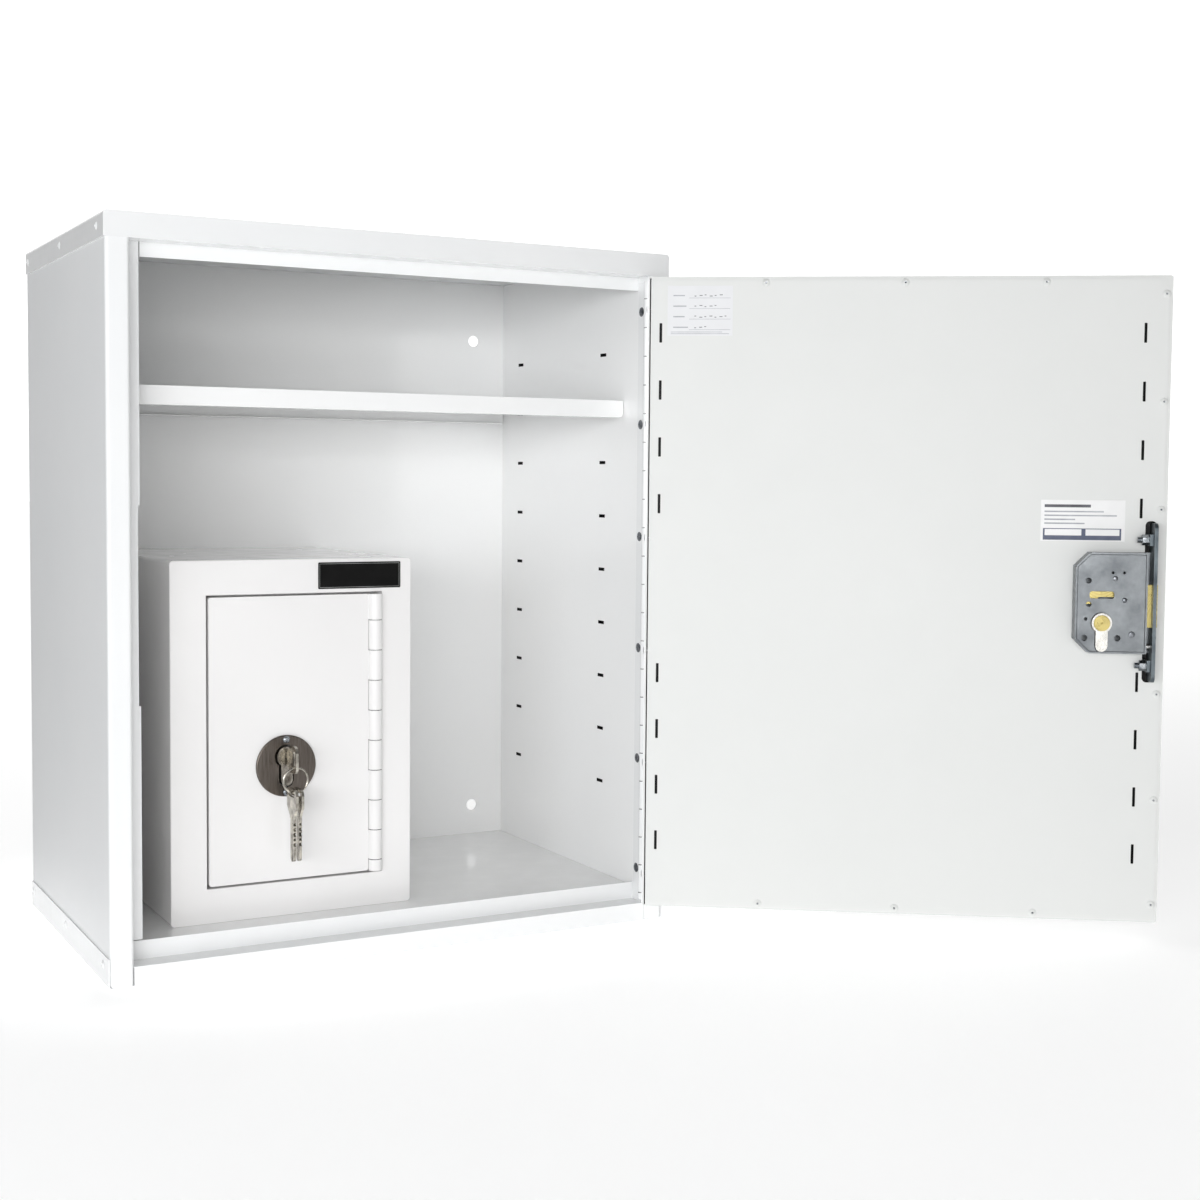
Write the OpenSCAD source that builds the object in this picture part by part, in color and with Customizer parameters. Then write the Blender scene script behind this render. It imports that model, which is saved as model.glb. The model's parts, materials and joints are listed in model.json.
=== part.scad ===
// Lockable steel medicine cabinet with a lockable inner cabinet, one shelf and a key set.
// Millimetres, +Z up. The origin is the centre of the underside; the front faces -Y.

/* [Cabinet body] */
// Width across the sides
cab_w = 500; // [460:5:700]
// Depth from the wall face to the front face
cab_d = 300; // [300:5:450]
// Height from the underside to the top
cab_h = 600; // [560:5:900]
// Thickness of the body and door sheet
sheet = 1.2; // [0.9:0.1:1.5]
// Outer radius of the folds in the cap, base and side skins
bend_r = 3; // [2:0.25:3.5]
// Width of each front post and of the cavity behind it
post_w = 20; // [17:0.5:24]
// Height of the top cap's front face
cap_h = 20; // [17:0.5:28]
// Height of the base's front face
base_h = 16; // [13:0.5:20]
// Height of the base's side flanges
base_flange_h = 24; // [20:1:30]
// Depth of the recess that takes the door
recess_d = 20; // [19.5:0.1:21]
// Height of the cabinet floor
floor_h = 28; // [24:1:36]
// Height of the sill above the cabinet floor
sill_up = 3; // [1:0.5:6]
// Drop of the header stop below the recess
header_drop = 11.5; // [8:0.5:16]
// Width of the stop on the lock side
stop_w = 11.5; // [8:0.5:12.5]
// Depth of the notch in the lock side stop
stop_notch = 1.6; // [0.5:0.1:3]

/* [Wall fixing] */
// Radius of the four wall fixing holes
fix_r = 5.5; // [3:0.25:7]
// Distance of the holes from each outer side
fix_inset = 54; // [48:1:58]
// Height of the lower holes
fix_low = 58; // [50:1:90]
// Distance of the upper holes below the top
fix_top = 60; // [50:1:90]

/* [Shelf and its slots] */
// Number of slot rows in each side wall
slot_rows = 9; // [8:1:9]
// Height from one slot row to the next
slot_pitch = 50; // [48:0.5:52]
// Height of the lowest row above the cabinet floor
slot_first = 86.8; // [70:1:100]
// Length of a wall slot, front to back
slot_l = 11; // [6:0.5:12]
// Height of a wall slot
slot_t = 2.8; // [2:0.1:4]
// Distance of the front slot column from the front
slot_front = 84; // [74:1:110]
// Distance of the back slot column from the front
slot_back = 257; // [200:1:270]
// Slot row that carries the shelf, counted from 0
shelf_row = 7; // [7:1:7]
// Distance of the shelf's front edge from the front
shelf_front = 44; // [40:1:60]
// Height of the shelf's front and back edges
shelf_edge = 15.5; // [12:0.5:20]
// Width of the hem below the shelf's edges
shelf_hem = 8; // [5:0.5:12]
// Gap between the shelf and each side wall
shelf_side_gap = 0.8; // [0.4:0.1:2]
// Height of the clip's seat above its slot
clip_up = 4.9; // [4:0.1:7]
// Reach of the clip from the wall
clip_reach = 10; // [7:0.5:14]

/* [Main door] */
// Thickness of each door
door_t = 18; // [17:0.1:18.5]
// Gap between the door and the lock side post
door_gap_lock = 6; // [4:0.5:8]
// Gap above the door
door_gap_top = 3; // [2:0.5:5]
// Gap below the door
door_gap_low = 2; // [1.5:0.5:4]
// Angle at which the main door stands open
door_open = 145.3; // [0:0.1:170]
// Width of the lip that the inner panel is riveted to
lip_w = 12; // [9:0.5:16]
// Inset of the inner panel from the door's edge
panel_inset = 3; // [2:0.25:4]
// Open slot between the hinge flange and the inner panel
panel_slot = 1.2; // [1:0.1:5]
// Corner radius of the inner panel
panel_r = 10; // [6:0.5:14]
// Outer corner radius of the door
door_r = 2; // [1:0.25:4]
// Height of a rack slot in the inner panel
rack_l = 17; // [12:0.5:22]
// Width of a rack slot in the inner panel
rack_t = 2.4; // [1.6:0.1:4]
// Height from one rack slot to the next
rack_pitch = 50; // [46:0.5:52]
// Height of the lowest rack slot above the door's lower edge
rack_first = 60; // [52:1:66]
// Height of the highest rack slot below the door's upper edge
rack_top = 49; // [46:0.5:60]
// Number of rack slots above and below the lock
rack_rows = 4; // [3:1:4]
// Distance of the rack slots from the hinge axis
rack_hinge = 14; // [12:0.5:20]
// Distance of the rack slots from the lock edge
rack_lock = 22.3; // [20:0.1:26]
// Distance of the panel rivets from the door's edge
rivet_inset = 5.6; // [4.8:0.1:6]
// Radius of a rivet head
rivet_r = 3.5; // [2:0.1:3.5]
// Height of a rivet head
rivet_h = 1.2; // [0.5:0.1:1.4]
// Radius of a rivet shank
rivet_shank = 1.6; // [1:0.1:1.8]

/* [Main hinge] */
// Radius of the main hinge knuckles
knuckle_r = 2.5; // [2.2:0.1:3]
// Radius of the main hinge pin
pin_r = 1.2; // [0.8:0.1:1.5]
// Thickness of the main hinge leaves
leaf_t = 1.2; // [0.8:0.1:1.3]
// Reach of a leaf from the hinge axis
leaf_w = 17.5; // [15:0.5:17.5]
// Length of one knuckle
knuckle_pitch = 25.4; // [20:0.2:30]
// Length of the cut knuckle at the foot of the hinge
knuckle_first = 6; // [4:0.5:12]
// Shortening of the hinge at each end of the door
hinge_short = 2; // [1:0.5:6]
// Number of screws along each leaf
hinge_screws = 6; // [4:1:8]
// Distance of the end screws from the door's edges
hinge_screw_end = 28; // [24:1:40]
// Distance of the screws from the hinge axis
hinge_screw_out = 11.8; // [10:0.1:12]
// Radius of the hinge screw heads
hinge_head_r = 4.3; // [3:0.1:4.5]
// Height of the hinge screw heads above the leaf
hinge_head_h = 0.8; // [0.4:0.1:0.9]

/* [Locks] */
// Height of the main lock's cylinder above the middle of the door
lock_drop = 17.5; // [10:0.5:24]
// Distance of the main lock's face from the door's edge
lock_inset = 11.1; // [9:0.1:13]
// Backset of the main lock, face to cylinder axis
backset_main = 45; // [44:0.5:60]
// Backset of the inner lock, face to cylinder axis
backset_inner = 60; // [56:0.5:62]
// Travel of each bolt
bolt_throw = 20; // [14:0.5:20]
// Projection of each bolt from its face plate when it is drawn back
bolt_out = 2; // [0:0.25:2.5]
// Thickness of the lock case
case_t = 15; // [14.6:0.1:16]
// Wall thickness of the lock case
case_wall = 1.5; // [1:0.1:1.6]
// Case length behind the cylinder axis
case_back = 22.2; // [21.5:0.1:26]
// Case height above the cylinder axis
case_up = 60.3; // [56:0.5:66]
// Case height below the cylinder axis
case_down = 26.2; // [25.8:0.1:30]
// Size of the case's cut corners
case_cut = 11.8; // [8:0.2:13]
// Radius of the euro cylinder's round part
cyl_r = 8.5; // [8.3:0.05:8.7]
// Width of the euro cylinder's lower part
cyl_bar = 10; // [9.5:0.1:10.2]
// Overall height of the euro cylinder
cyl_h = 33; // [32:0.1:34]
// Radius of the lock plug
plug_r = 6.85; // [6.6:0.05:6.9]
// Radius swept by the cam
cam_r = 15.3; // [14.6:0.1:15.4]
// Projection of the cylinder from the door's face
cyl_out = 4; // [3:0.25:4.5]
// Projection of the cylinder from the lock case
cyl_back = 3; // [2:0.25:4]
// Width of the forend plates
forend_w = 22; // [20:0.5:24]
// Thickness of each forend plate
forend_t = 1.5; // [1.2:0.1:3.2]
// Height of the forend plates
forend_h = 136; // [130:1:140]
// Gap between the lock case and the forend
forend_gap = 4; // [2.4:0.1:4.4]
// Height of the bolt head
bolt_h = 36.5; // [32:0.5:38]
// Thickness of the bolt head
bolt_t = 8; // [6:0.5:9]
// Spacing of the two forend screws
forend_screw_span = 108; // [104:1:114]
// Radius of the forend screws
forend_screw_r = 2.5; // [2:0.1:3]
// Radius of the escutcheon
esc_r = 26; // [22:0.5:28]
// Thickness of the escutcheon
esc_t = 2.5; // [1.5:0.25:3]
// Distance of the escutcheon screws from its centre
esc_screw_out = 22.3; // [19:0.1:23]

/* [Inner cabinet] */
// Width of the inner cabinet
cdc_w = 211; // [200:1:240]
// Height of the inner cabinet
cdc_h = 302; // [290:1:340]
// Depth of the inner cabinet
cdc_d = 242; // [180:1:243]
// Distance of the inner cabinet from the cabinet's outer left side
cdc_x = 64.5; // [62:0.5:80]
// Thickness of the inner cabinet's sheet
cdc_sheet = 1.5; // [1.2:0.1:2]
// Outer radius of the inner cabinet's folded edges
cdc_r = 3; // [2.25:0.25:4]
// Width of the front frame on the lock side
cdc_rim_lock = 30; // [26:0.5:34]
// Width of the front frame on the hinge side
cdc_rim_hinge = 26.6; // [22:0.2:30]
// Height of the front frame above the door
cdc_rim_top = 29; // [26:0.5:34]
// Height of the front frame below the door
cdc_rim_low = 29; // [24:0.5:34]
// Gap round the inner door
cdc_gap = 1.8; // [1.2:0.1:2.4]
// Height of the stops above and below the inner door
cdc_stop = 8; // [5:0.5:10]
// Radius of the inner hinge knuckles
cdc_knuckle_r = 6; // [5:0.1:6.5]
// Radius of the inner hinge pin
cdc_pin_r = 3; // [2:0.1:3.5]
// Thickness of the inner hinge leaves
cdc_leaf_t = 2.5; // [2:0.1:3]
// Distance of the inner lock's cylinder from its hinge axis
cdc_lock_out = 80.6; // [78:0.2:84]
// Height of the inner lock's cylinder above the inner door's lower edge
cdc_lock_up = 105; // [100:1:110]
// Length of one inner hinge knuckle
cdc_knuckle_pitch = 26; // [20:0.5:30]
// Length of the cut knuckle at the foot of the inner hinge
cdc_knuckle_first = 10; // [6:0.5:14]
// Radius of the four bolts that hold the inner cabinet to the back
cdc_bolt_r = 3; // [2.5:0.25:4]
// Distance of those bolts from the inner cabinet's sides
cdc_bolt_inset = 40; // [30:1:60]

/* [Labels] */
// Width and height of the ruled record label
record_w = 57; // [40:1:60]
// Height of the ruled record label
record_h = 43.5; // [30:0.5:50]
// Width of the plain door label
info_w = 71; // [60:1:74]
// Height of the plain door label
info_h = 35.5; // [25:0.5:36]
// Width of the dark plaque
plaque_w = 74.6; // [60:0.2:80]
// Height of the dark plaque
plaque_h = 22.6; // [16:0.2:24]
// Thickness of the labels
label_t = 0.25; // [0.15:0.05:0.4]
// Thickness of the plaque
plaque_t = 0.6; // [0.3:0.1:1]

/* [Keys] */
// Thickness of a key
key_t = 2.2; // [1.8:0.1:2.4]
// Radius of a key's bow
bow_r = 11.5; // [9:0.5:12]
// Half the width of the slot in a key's bow
bow_hole_r = 2.4; // [2:0.1:2.6]
// Half the length of the slot in a key's bow
bow_hole_half = 7.5; // [4:0.25:7.5]
// Distance from the bow's middle to its slot
bow_hole_out = 7; // [5:0.2:7]
// Height of a key's blade
blade_h = 8.4; // [7:0.1:8.4]
// Length of a key's blade
blade_l = 36; // [24:0.5:37]
// Mean radius of the key ring
ring_r = 10.5; // [9:0.25:12]
// Radius of the key ring's wire
ring_wire_r = 0.9; // [0.6:0.1:1]
// Distance between the two spare keys on the ring
key_spread = 5; // [4:0.25:6]

/* [Clearances] */
// Radial clearance of a pin or plug in its bore
run_gap = 0.08; // [0.04:0.01:0.1]
// Radial clearance of a rivet or screw in its hole
hole_gap = 0.05; // [0.02:0.01:0.1]
// Clearance between pieces that move past each other
move_gap = 0.3; // [0.2:0.05:0.5]
// Clearance of the cylinder in the door and case
cyl_gap = 0.4; // [0.2:0.05:0.6]

/* [Hidden] */
$fn = 48;

// Cut-through allowance of tools that must pass a face
eps = 1;

// Inner faces of the posts, the recess and the ceiling
open_x0 = post_w;
open_x1 = cab_w - post_w;
open_z0 = base_h;
open_z1 = cab_h - cap_h;
back_y = cab_d - sheet;
sill_h = floor_h + sill_up;
ceiling_h = cab_h - sheet;

// Rows of rivets along the side flanges
cap_rivet_front = 23;
base_rivet_front = 18.5;
side_rivet_back = 10;
base_rivet_drop = 8;

// Shelf height follows the slot row that carries it
shelf_gap = 0.2;
row_z = floor_h + slot_first + shelf_row * slot_pitch;
clip_top = row_z + clip_up;
shelf_under = clip_top + shelf_gap;
shelf_x0 = open_x0 + shelf_side_gap;
shelf_x1 = open_x1 - shelf_side_gap;
shelf_back = back_y - shelf_side_gap;
shelf_r = 4;

// Shelf clip, bent from strip
clip_gap = 0.2;
clip_t = 1.5;
clip_hook = 7;

// Main door, closed, in a frame whose origin is the hinge axis and whose +Y goes inwards
pin_x = open_x1 - knuckle_r - move_gap;
door_x1 = -knuckle_r - move_gap;
door_x0 = open_x0 + door_gap_lock - pin_x;
door_z0 = open_z0 + door_gap_low;
door_z1 = open_z1 - door_gap_top;
lock_x = door_x0 + lock_inset + backset_main;
lock_z = (door_z0 + door_z1) / 2 - lock_drop;

// Inner cabinet and inner door
cdc_front = back_y - cdc_d;
cdc_z0 = floor_h;
cdc_z1 = floor_h + cdc_h;
cdc_open_x0 = cdc_x + cdc_rim_lock;
cdc_open_x1 = cdc_x + cdc_w - cdc_rim_hinge;
cdc_open_z0 = cdc_z0 + cdc_rim_low;
cdc_open_z1 = cdc_z1 - cdc_rim_top;
cdc_pin_x = cdc_open_x1 - cdc_knuckle_r - move_gap;
cdc_door_x1 = -cdc_knuckle_r - move_gap;
cdc_door_x0 = cdc_open_x0 + cdc_gap - cdc_pin_x;
cdc_door_z0 = cdc_open_z0 + cdc_gap;
cdc_door_z1 = cdc_open_z1 - cdc_gap;
cdc_lock_z = cdc_door_z0 + cdc_lock_up;

// Hinge screw shank and the gap between the door leaf and the lip above it
hinge_shank = 1.5;
leaf_seat = 0.2;

// Lock layout, measured from the cylinder axis at the door's outer face
case_y0 = door_t;
case_y1 = door_t + case_t;
lock_mid = door_t + case_t / 2;
cam_w = 10;
cam_half = 4;
cyl_drop = cyl_h - cyl_r;
bridge_top = -cam_r - 0.6;
cyl_screw_z = -20.4;
stud_r = 2.1;
stud_x = -19.1;
stud_z = 19.7;
upper_stud_x = -11;
upper_stud_z = 38.2;
cover_screw_x = -25.5;
cover_screw_z = -9.6;
case_fold_r = 1;
cover_gap = 0.4;
cover_slot_z = 24;
cover_slot_half = 10.3;
cover_slot_r = 2.1;
bolt_low = -3.6;
bolt_head_l = bolt_throw + 5;
tail_low = 16;
tail_h = 14;
tail_t = 3;
tail_back = 19;
forend_low = -50.4;
forend_corner = 5;
forend_screw_mid = 17.3;
forend_head_r = 4.2;
forend_head_h = 1.6;
nut_r = forend_screw_r * 1.85;
nut_t = forend_screw_r * 2.2;
bracket_t = 3;
bracket_half = 5;
thread_end = forend_screw_r * 1.5;
notch_over = 1.6;
notch_r = 4;
notch_out_main = 2.6;
notch_out_inner = 1;
case_seat = 0.2;
esc_screw_r = 1.9;
esc_head_r = 3.2;
esc_head_h = 1.7;
esc_gap = 1.5;
skin_gap = 2.2;
cover_holes = [
  [11.4, 36.2, 2.5], [-8.8, 43.1, 1.2], [-18.3, 43.2, 1.2], [10.9, 16, 2.3],
  [13.1, 3.3, 1.5], [14.1, -13.1, 2.6], [-13.6, -12.9, 2.7]
];

// Places of the two door labels
info_left = 20.5;
info_up = 9;
record_out = 5.8;
record_drop = 8;

// Keys hang from the bow of the key in the lock
key_shoulder = 2;
blade_drop = 1.5;
bit_pitch = 4.2;
bit_depth = 1.6;
groove_d = 0.5;
groove_w = 1.3;
groove_z = 0.2;
key_gap = 0.3;
bow_y = -cyl_out - key_shoulder - bow_r - 1;
hole_y = bow_y - bow_hole_out;
ring_top = -bow_hole_half + ring_wire_r + key_gap;
ring_z = ring_top - ring_r;
spare_edge = (key_spread + key_t) / 2;
ring_low = ring_z - sqrt(ring_r * ring_r - spare_edge * spare_edge);
hang_hole_z = ring_low + ring_wire_r + key_gap - bow_hole_r;

// ---------------------------------------------------------------- general shapes

// Everything is drawn from the front left lower corner and centred on the underside here
module place() {
  translate([-cab_w / 2, -cab_d / 2, 0]) children();
}

// Box between two corners
module box(x0, x1, y0, y1, z0, z1) {
  translate([x0, y0, z0]) cube([x1 - x0, y1 - y0, z1 - z0]);
}

// Flat outline in X and Z, made solid from y0 to y1
module plate_xz(y0, y1) {
  translate([0, y1, 0]) rotate([90, 0, 0]) linear_extrude(y1 - y0) children();
}

// Flat outline in Y and Z, made solid from x0 to x1
module plate_yz(x0, x1) {
  translate([x0, 0, 0]) rotate([90, 0, 90]) linear_extrude(x1 - x0) children();
}

// Flat outline in X and Y, made solid from z0 to z1
module plate_xy(z0, z1) {
  translate([0, 0, z0]) linear_extrude(z1 - z0) children();
}

// Rod along Y between y0 and y1
module rod_y(r, y0, y1) {
  translate([0, y1, 0]) rotate([90, 0, 0]) cylinder(r = r, h = y1 - y0);
}

// Rod along X between x0 and x1
module rod_x(r, x0, x1) {
  translate([x0, 0, 0]) rotate([0, 90, 0]) cylinder(r = r, h = x1 - x0);
}

// Flat rectangle with round corners
module round_rect(x0, x1, y0, y1, r) {
  translate([x0 + r, y0]) square([x1 - x0 - 2 * r, y1 - y0]);
  translate([x0, y0 + r]) square([x1 - x0, y1 - y0 - 2 * r]);
  for (x = [x0 + r, x1 - r], y = [y0 + r, y1 - r]) translate([x, y]) circle(r);
}

// Domed head that stands on z = 0
module dome(r, h) {
  ball = (r * r + h * h) / (2 * h);
  intersection() {
    translate([0, 0, h - ball]) sphere(ball, $fn = 64);
    cylinder(r = r, h = h);
  }
}

// Blind rivet: domed head with a pierced middle, and its shank below z = 0
module rivet(shank_l) {
  difference() {
    union() {
      dome(rivet_r, rivet_h);
      translate([0, 0, -shank_l]) cylinder(r = rivet_shank, h = shank_l + rivet_h / 2);
    }
    translate([0, 0, rivet_h * 0.3]) cylinder(r = rivet_r * 0.34, h = rivet_h);
  }
}

// Screw with a domed head and a cross recess, its shank below z = 0
module cross_screw(head_r, head_h, shank_r, shank_l) {
  slot_w = head_r * 0.26;
  slot_len = head_r * 1.1;
  difference() {
    union() {
      dome(head_r, head_h);
      translate([0, 0, -shank_l]) cylinder(r = shank_r, h = shank_l + head_h / 2);
    }
    for (a = [0, 90]) rotate([0, 0, a])
      translate([-slot_len / 2, -slot_w / 2, head_h * 0.35]) cube([slot_len, slot_w, head_h]);
  }
}

// ---------------------------------------------------------------- places of repeated pieces

module at_fix_holes() {
  for (x = [fix_inset, cab_w - fix_inset], z = [fix_low, cab_h - fix_top])
    translate([x, 0, z]) children();
}

module at_side_rivets(z, front_y) {
  back_row = cab_d - side_rivet_back;
  for (y = [front_y, (front_y + back_row) / 2, back_row]) {
    translate([0, y, z]) rotate([0, -90, 0]) children();
    translate([cab_w, y, z]) rotate([0, 90, 0]) children();
  }
}

module at_cap_rivets() {
  at_side_rivets(cab_h - cap_h / 2, cap_rivet_front) children();
}

module at_base_rivets() {
  at_side_rivets(base_flange_h - base_rivet_drop, base_rivet_front) children();
}

// Hole for a side rivet through the flange and the skin below it
module side_rivet_hole() {
  translate([0, 0, -3 * sheet]) cylinder(r = rivet_shank + hole_gap, h = 4 * sheet);
}

module at_wall_slots() {
  for (k = [0 : slot_rows - 1], y = [slot_front, slot_back])
    translate([0, y, floor_h + slot_first + k * slot_pitch]) children();
}

// Rack slots, counted down from the top and up from the bottom, clear of the lock
module at_rack_slots() {
  for (x = [-rack_hinge, door_x0 + rack_lock], k = [0 : rack_rows - 1]) {
    translate([x, 0, door_z0 + rack_first + k * rack_pitch]) children();
    translate([x, 0, door_z1 - rack_top - k * rack_pitch]) children();
  }
}

// Heights of the lock side rivets, measured up from the door's lower edge
module at_panel_rivets() {
  mid = (door_z0 + door_z1) / 2;
  half = (door_z1 - door_z0) / 2;
  for (f = [0.285, 0.615, 0.943], m = [-1, 1])
    translate([door_x0 + rivet_inset, door_t, mid + m * f * half]) rotate([-90, 0, 0]) children();
  for (f = [0.234, 0.5, 0.765], z = [door_z0 + rivet_inset, door_z1 - rivet_inset])
    translate([door_x0 * f, door_t, z]) rotate([-90, 0, 0]) children();
}

module at_hinge_screws() {
  span = door_z1 - door_z0 - 2 * hinge_screw_end;
  for (k = [0 : hinge_screws - 1])
    translate([0, hinge_screw_out, door_z0 + hinge_screw_end + k * span / (hinge_screws - 1)])
      children();
}

module at_cdc_bolts() {
  for (x = [cdc_x + cdc_bolt_inset, cdc_x + cdc_w - cdc_bolt_inset],
       z = [cdc_z0 + cdc_bolt_inset, cdc_z1 - cdc_bolt_inset])
    translate([x, 0, z]) children();
}

// Door frames: closed, +X towards the hinge, origin on the hinge axis
module in_main_door() {
  translate([pin_x, 0, 0]) rotate([0, 0, door_open]) children();
}

module in_inner_door() {
  translate([cdc_pin_x, cdc_front, 0]) children();
}

module in_main_lock() {
  in_main_door() translate([lock_x, 0, lock_z]) children();
}

module in_inner_lock() {
  in_inner_door() translate([-cdc_lock_out, 0, cdc_lock_z]) children();
}

// ---------------------------------------------------------------- cabinet body

// Outline of the cap or, upside down, of the base: folded at both sides, inset by the sheet
module fold_outline(inset, leg) {
  difference() {
    round_rect(inset, cab_w - inset, -leg - 2 * bend_r, -inset, bend_r - inset);
    translate([-eps, -leg - 3 * bend_r]) square([cab_w + 2 * eps, 3 * bend_r]);
  }
}

module folded_cover(leg) {
  plate_xz(0, cab_d) difference() {
    fold_outline(0, leg);
    fold_outline(sheet, leg + eps);
  }
}

// Space inside the cap and the base that the skins and the back stand in
module inside_folds() {
  intersection() {
    plate_xz(-eps, cab_d + eps)
      round_rect(sheet, cab_w - sheet, sheet, cab_h - sheet, bend_r);
    children();
  }
}

module top_cap() color("white") place() difference() {
  union() {
    translate([0, 0, cab_h]) folded_cover(cap_h);
    translate([0, 0, cab_h]) plate_xz(0, sheet) fold_outline(0, cap_h);
    box(open_x0, open_x1, 0, recess_d + sheet, open_z1, open_z1 + sheet);
    box(open_x0 + stop_w + 1, open_x1, recess_d, recess_d + sheet,
        open_z1 - header_drop, open_z1 + sheet);
  }
  at_cap_rivets()
    side_rivet_hole();
}

module base_tray() color("white") place() difference() {
  union() {
    mirror([0, 0, 1]) folded_cover(base_flange_h);
    box(open_x0, open_x1, 0, sheet, 0, base_h);
    box(open_x0, open_x1, 0, recess_d + sheet, base_h - sheet, base_h);
    box(open_x0, open_x1, recess_d, recess_d + sheet, base_h - sheet, sill_h);
  }
  at_base_rivets()
    side_rivet_hole();
}

// Side skin folded into the front post and its return
module side_panel() {
  difference() {
    inside_folds() union() {
      box(sheet, 2 * sheet, bend_r, cab_d, sheet, ceiling_h);
      plate_xy(sheet, open_z1) difference() {
        round_rect(sheet, post_w, 0, 2 * recess_d, bend_r);
        round_rect(2 * sheet, post_w - sheet, sheet, 2 * recess_d - sheet, bend_r - sheet);
        translate([2 * sheet, recess_d]) square([post_w, 2 * recess_d]);
        translate([0, 2 * recess_d - bend_r]) square([post_w, 2 * bend_r]);
      }
    }
    at_cap_rivets() side_rivet_hole();
    at_base_rivets() side_rivet_hole();
  }
}

module side_panel_left() color("white") place() {
  notch_z0 = lock_z + forend_low - 12;
  difference() {
    union() {
      side_panel();
      box(post_w - sheet, post_w + stop_w, recess_d, recess_d + sheet, sill_h + 1, open_z1);
    }
    box(post_w + stop_w - stop_notch, post_w + stop_w + eps, recess_d - eps,
        recess_d + sheet + eps, notch_z0, notch_z0 + forend_h + 22);
  }
}

module side_panel_right() color("white") place() difference() {
  translate([cab_w, 0, 0]) mirror([1, 0, 0]) side_panel();
  at_hinge_screws_fixed() hinge_screw_hole();
}

// Inner wall with its slots; the lock side wall is also cut for the bolt
module side_liner(y0) {
  difference() {
    box(post_w - sheet, post_w, y0, back_y, sheet, ceiling_h);
    at_wall_slots() translate([post_w, 0, 0])
      cube([4 * sheet, slot_l, slot_t], center = true);
  }
}

module side_liner_left() color("white") place() difference() {
  side_liner(recess_d + sheet);
  box(post_w - sheet - eps, post_w + eps, recess_d, lock_mid + bolt_t / 2 + 1,
      lock_z + bolt_low - 1, lock_z + bolt_low + bolt_h + 1);
}

module side_liner_right() color("white") place()
  translate([cab_w, 0, 0]) mirror([1, 0, 0]) side_liner(recess_d);

module back_panel() color("white") place() difference() {
  inside_folds() box(2 * sheet, cab_w - 2 * sheet, back_y, cab_d, sheet, ceiling_h);
  at_fix_holes() rod_y(fix_r, back_y - eps, cab_d + eps);
  at_cdc_bolts() rod_y(cdc_bolt_r + hole_gap, back_y - eps, cab_d + eps);
}

module floor_panel() color("white") place() {
  box(open_x0, open_x1, recess_d + sheet, back_y, floor_h - sheet, floor_h);
  for (x = [open_x0, open_x1 - sheet])
    box(x, x + sheet, recess_d + sheet, back_y, sheet, floor_h);
}

module cap_rivets() color("white") place() at_cap_rivets() rivet(4 * sheet);

module base_rivets() color("white") place() at_base_rivets() rivet(4 * sheet);

// Clip hooked through a slot: seat, tongue and the hook behind the wall
module shelf_clip() {
  tongue = slot_t - 2 * clip_gap;
  side = slot_l / 2 - move_gap;
  hook_x = sheet + move_gap;
  box(-clip_reach, -clip_gap, -side, side, -tongue / 2, clip_up);
  box(-clip_reach, hook_x + clip_t, -side, side, -tongue / 2, tongue / 2);
  box(hook_x, hook_x + clip_t, -side, side, -clip_hook, tongue / 2);
}

module shelf_clips() color("gainsboro") place() for (y = [slot_front, slot_back]) {
  translate([open_x1, y, row_z]) shelf_clip();
  translate([open_x0, y, row_z]) mirror([1, 0, 0]) shelf_clip();
}

module shelf() color("white") place() {
  top = shelf_under + sheet;
  low = top - shelf_edge;
  box(shelf_x0, shelf_x1, shelf_front, shelf_back, shelf_under, top);
  for (y = [shelf_front, shelf_back - sheet])
    plate_xz(y, y + sheet) difference() {
      round_rect(shelf_x0, shelf_x1, low, top + shelf_r, shelf_r);
      translate([shelf_x0 - eps, top]) square([shelf_x1 - shelf_x0 + 2 * eps, shelf_r + eps]);
    }
  for (y = [shelf_front, shelf_back - shelf_hem])
    box(shelf_x0 + shelf_r, shelf_x1 - shelf_r, y, y + shelf_hem, low, low + sheet);
}

// ---------------------------------------------------------------- hinges

// Leaf on the +X side of the axis; part 0 has the even knuckles and part 1 the odd ones
module hinge_leaf(r, bore_r, t, w, z0, z1, first, pitch, part) {
  face = r + move_gap;
  relief = sqrt(pow(r + move_gap, 2) - pow(face - t, 2)) + 0.2;
  count = ceil((z1 - z0 - first) / pitch);
  cut = 0.2;
  box(face - t, face, relief, w, z0, z1);
  for (k = [part : 2 : count]) {
    low = (k == 0) ? z0 : z0 + first + (k - 1) * pitch + cut;
    high = min(z0 + first + k * pitch - cut, z1);
    difference() {
      union() {
        translate([0, 0, low]) cylinder(r = r, h = high - low);
        box(face - t, face, 0, relief + 0.1, low, high);
      }
      translate([0, 0, low - eps]) cylinder(r = bore_r, h = high - low + 2 * eps);
    }
  }
}

module main_hinge_leaf(part) {
  hinge_leaf(knuckle_r, pin_r + run_gap, leaf_t, leaf_w, door_z0 + hinge_short,
             door_z1 - hinge_short, knuckle_first, knuckle_pitch, part);
}

module at_hinge_screws_fixed() {
  translate([pin_x + knuckle_r + move_gap - leaf_t, 0, 0]) at_hinge_screws()
    rotate([0, -90, 0]) children();
}

module at_hinge_screws_door() {
  translate([door_x1 + leaf_t, 0, 0]) at_hinge_screws() rotate([0, 90, 0]) children();
}

module hinge_screw() {
  cross_screw(hinge_head_r, hinge_head_h, hinge_shank, 5 * leaf_t);
}

module hinge_screw_hole() {
  cylinder(r = hinge_shank + hole_gap, h = 6 * leaf_t, center = true);
}

module hinge_leaf_fixed() color("white") place() difference() {
  translate([pin_x, 0, 0]) main_hinge_leaf(0);
  at_hinge_screws_fixed() hinge_screw_hole();
}

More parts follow.
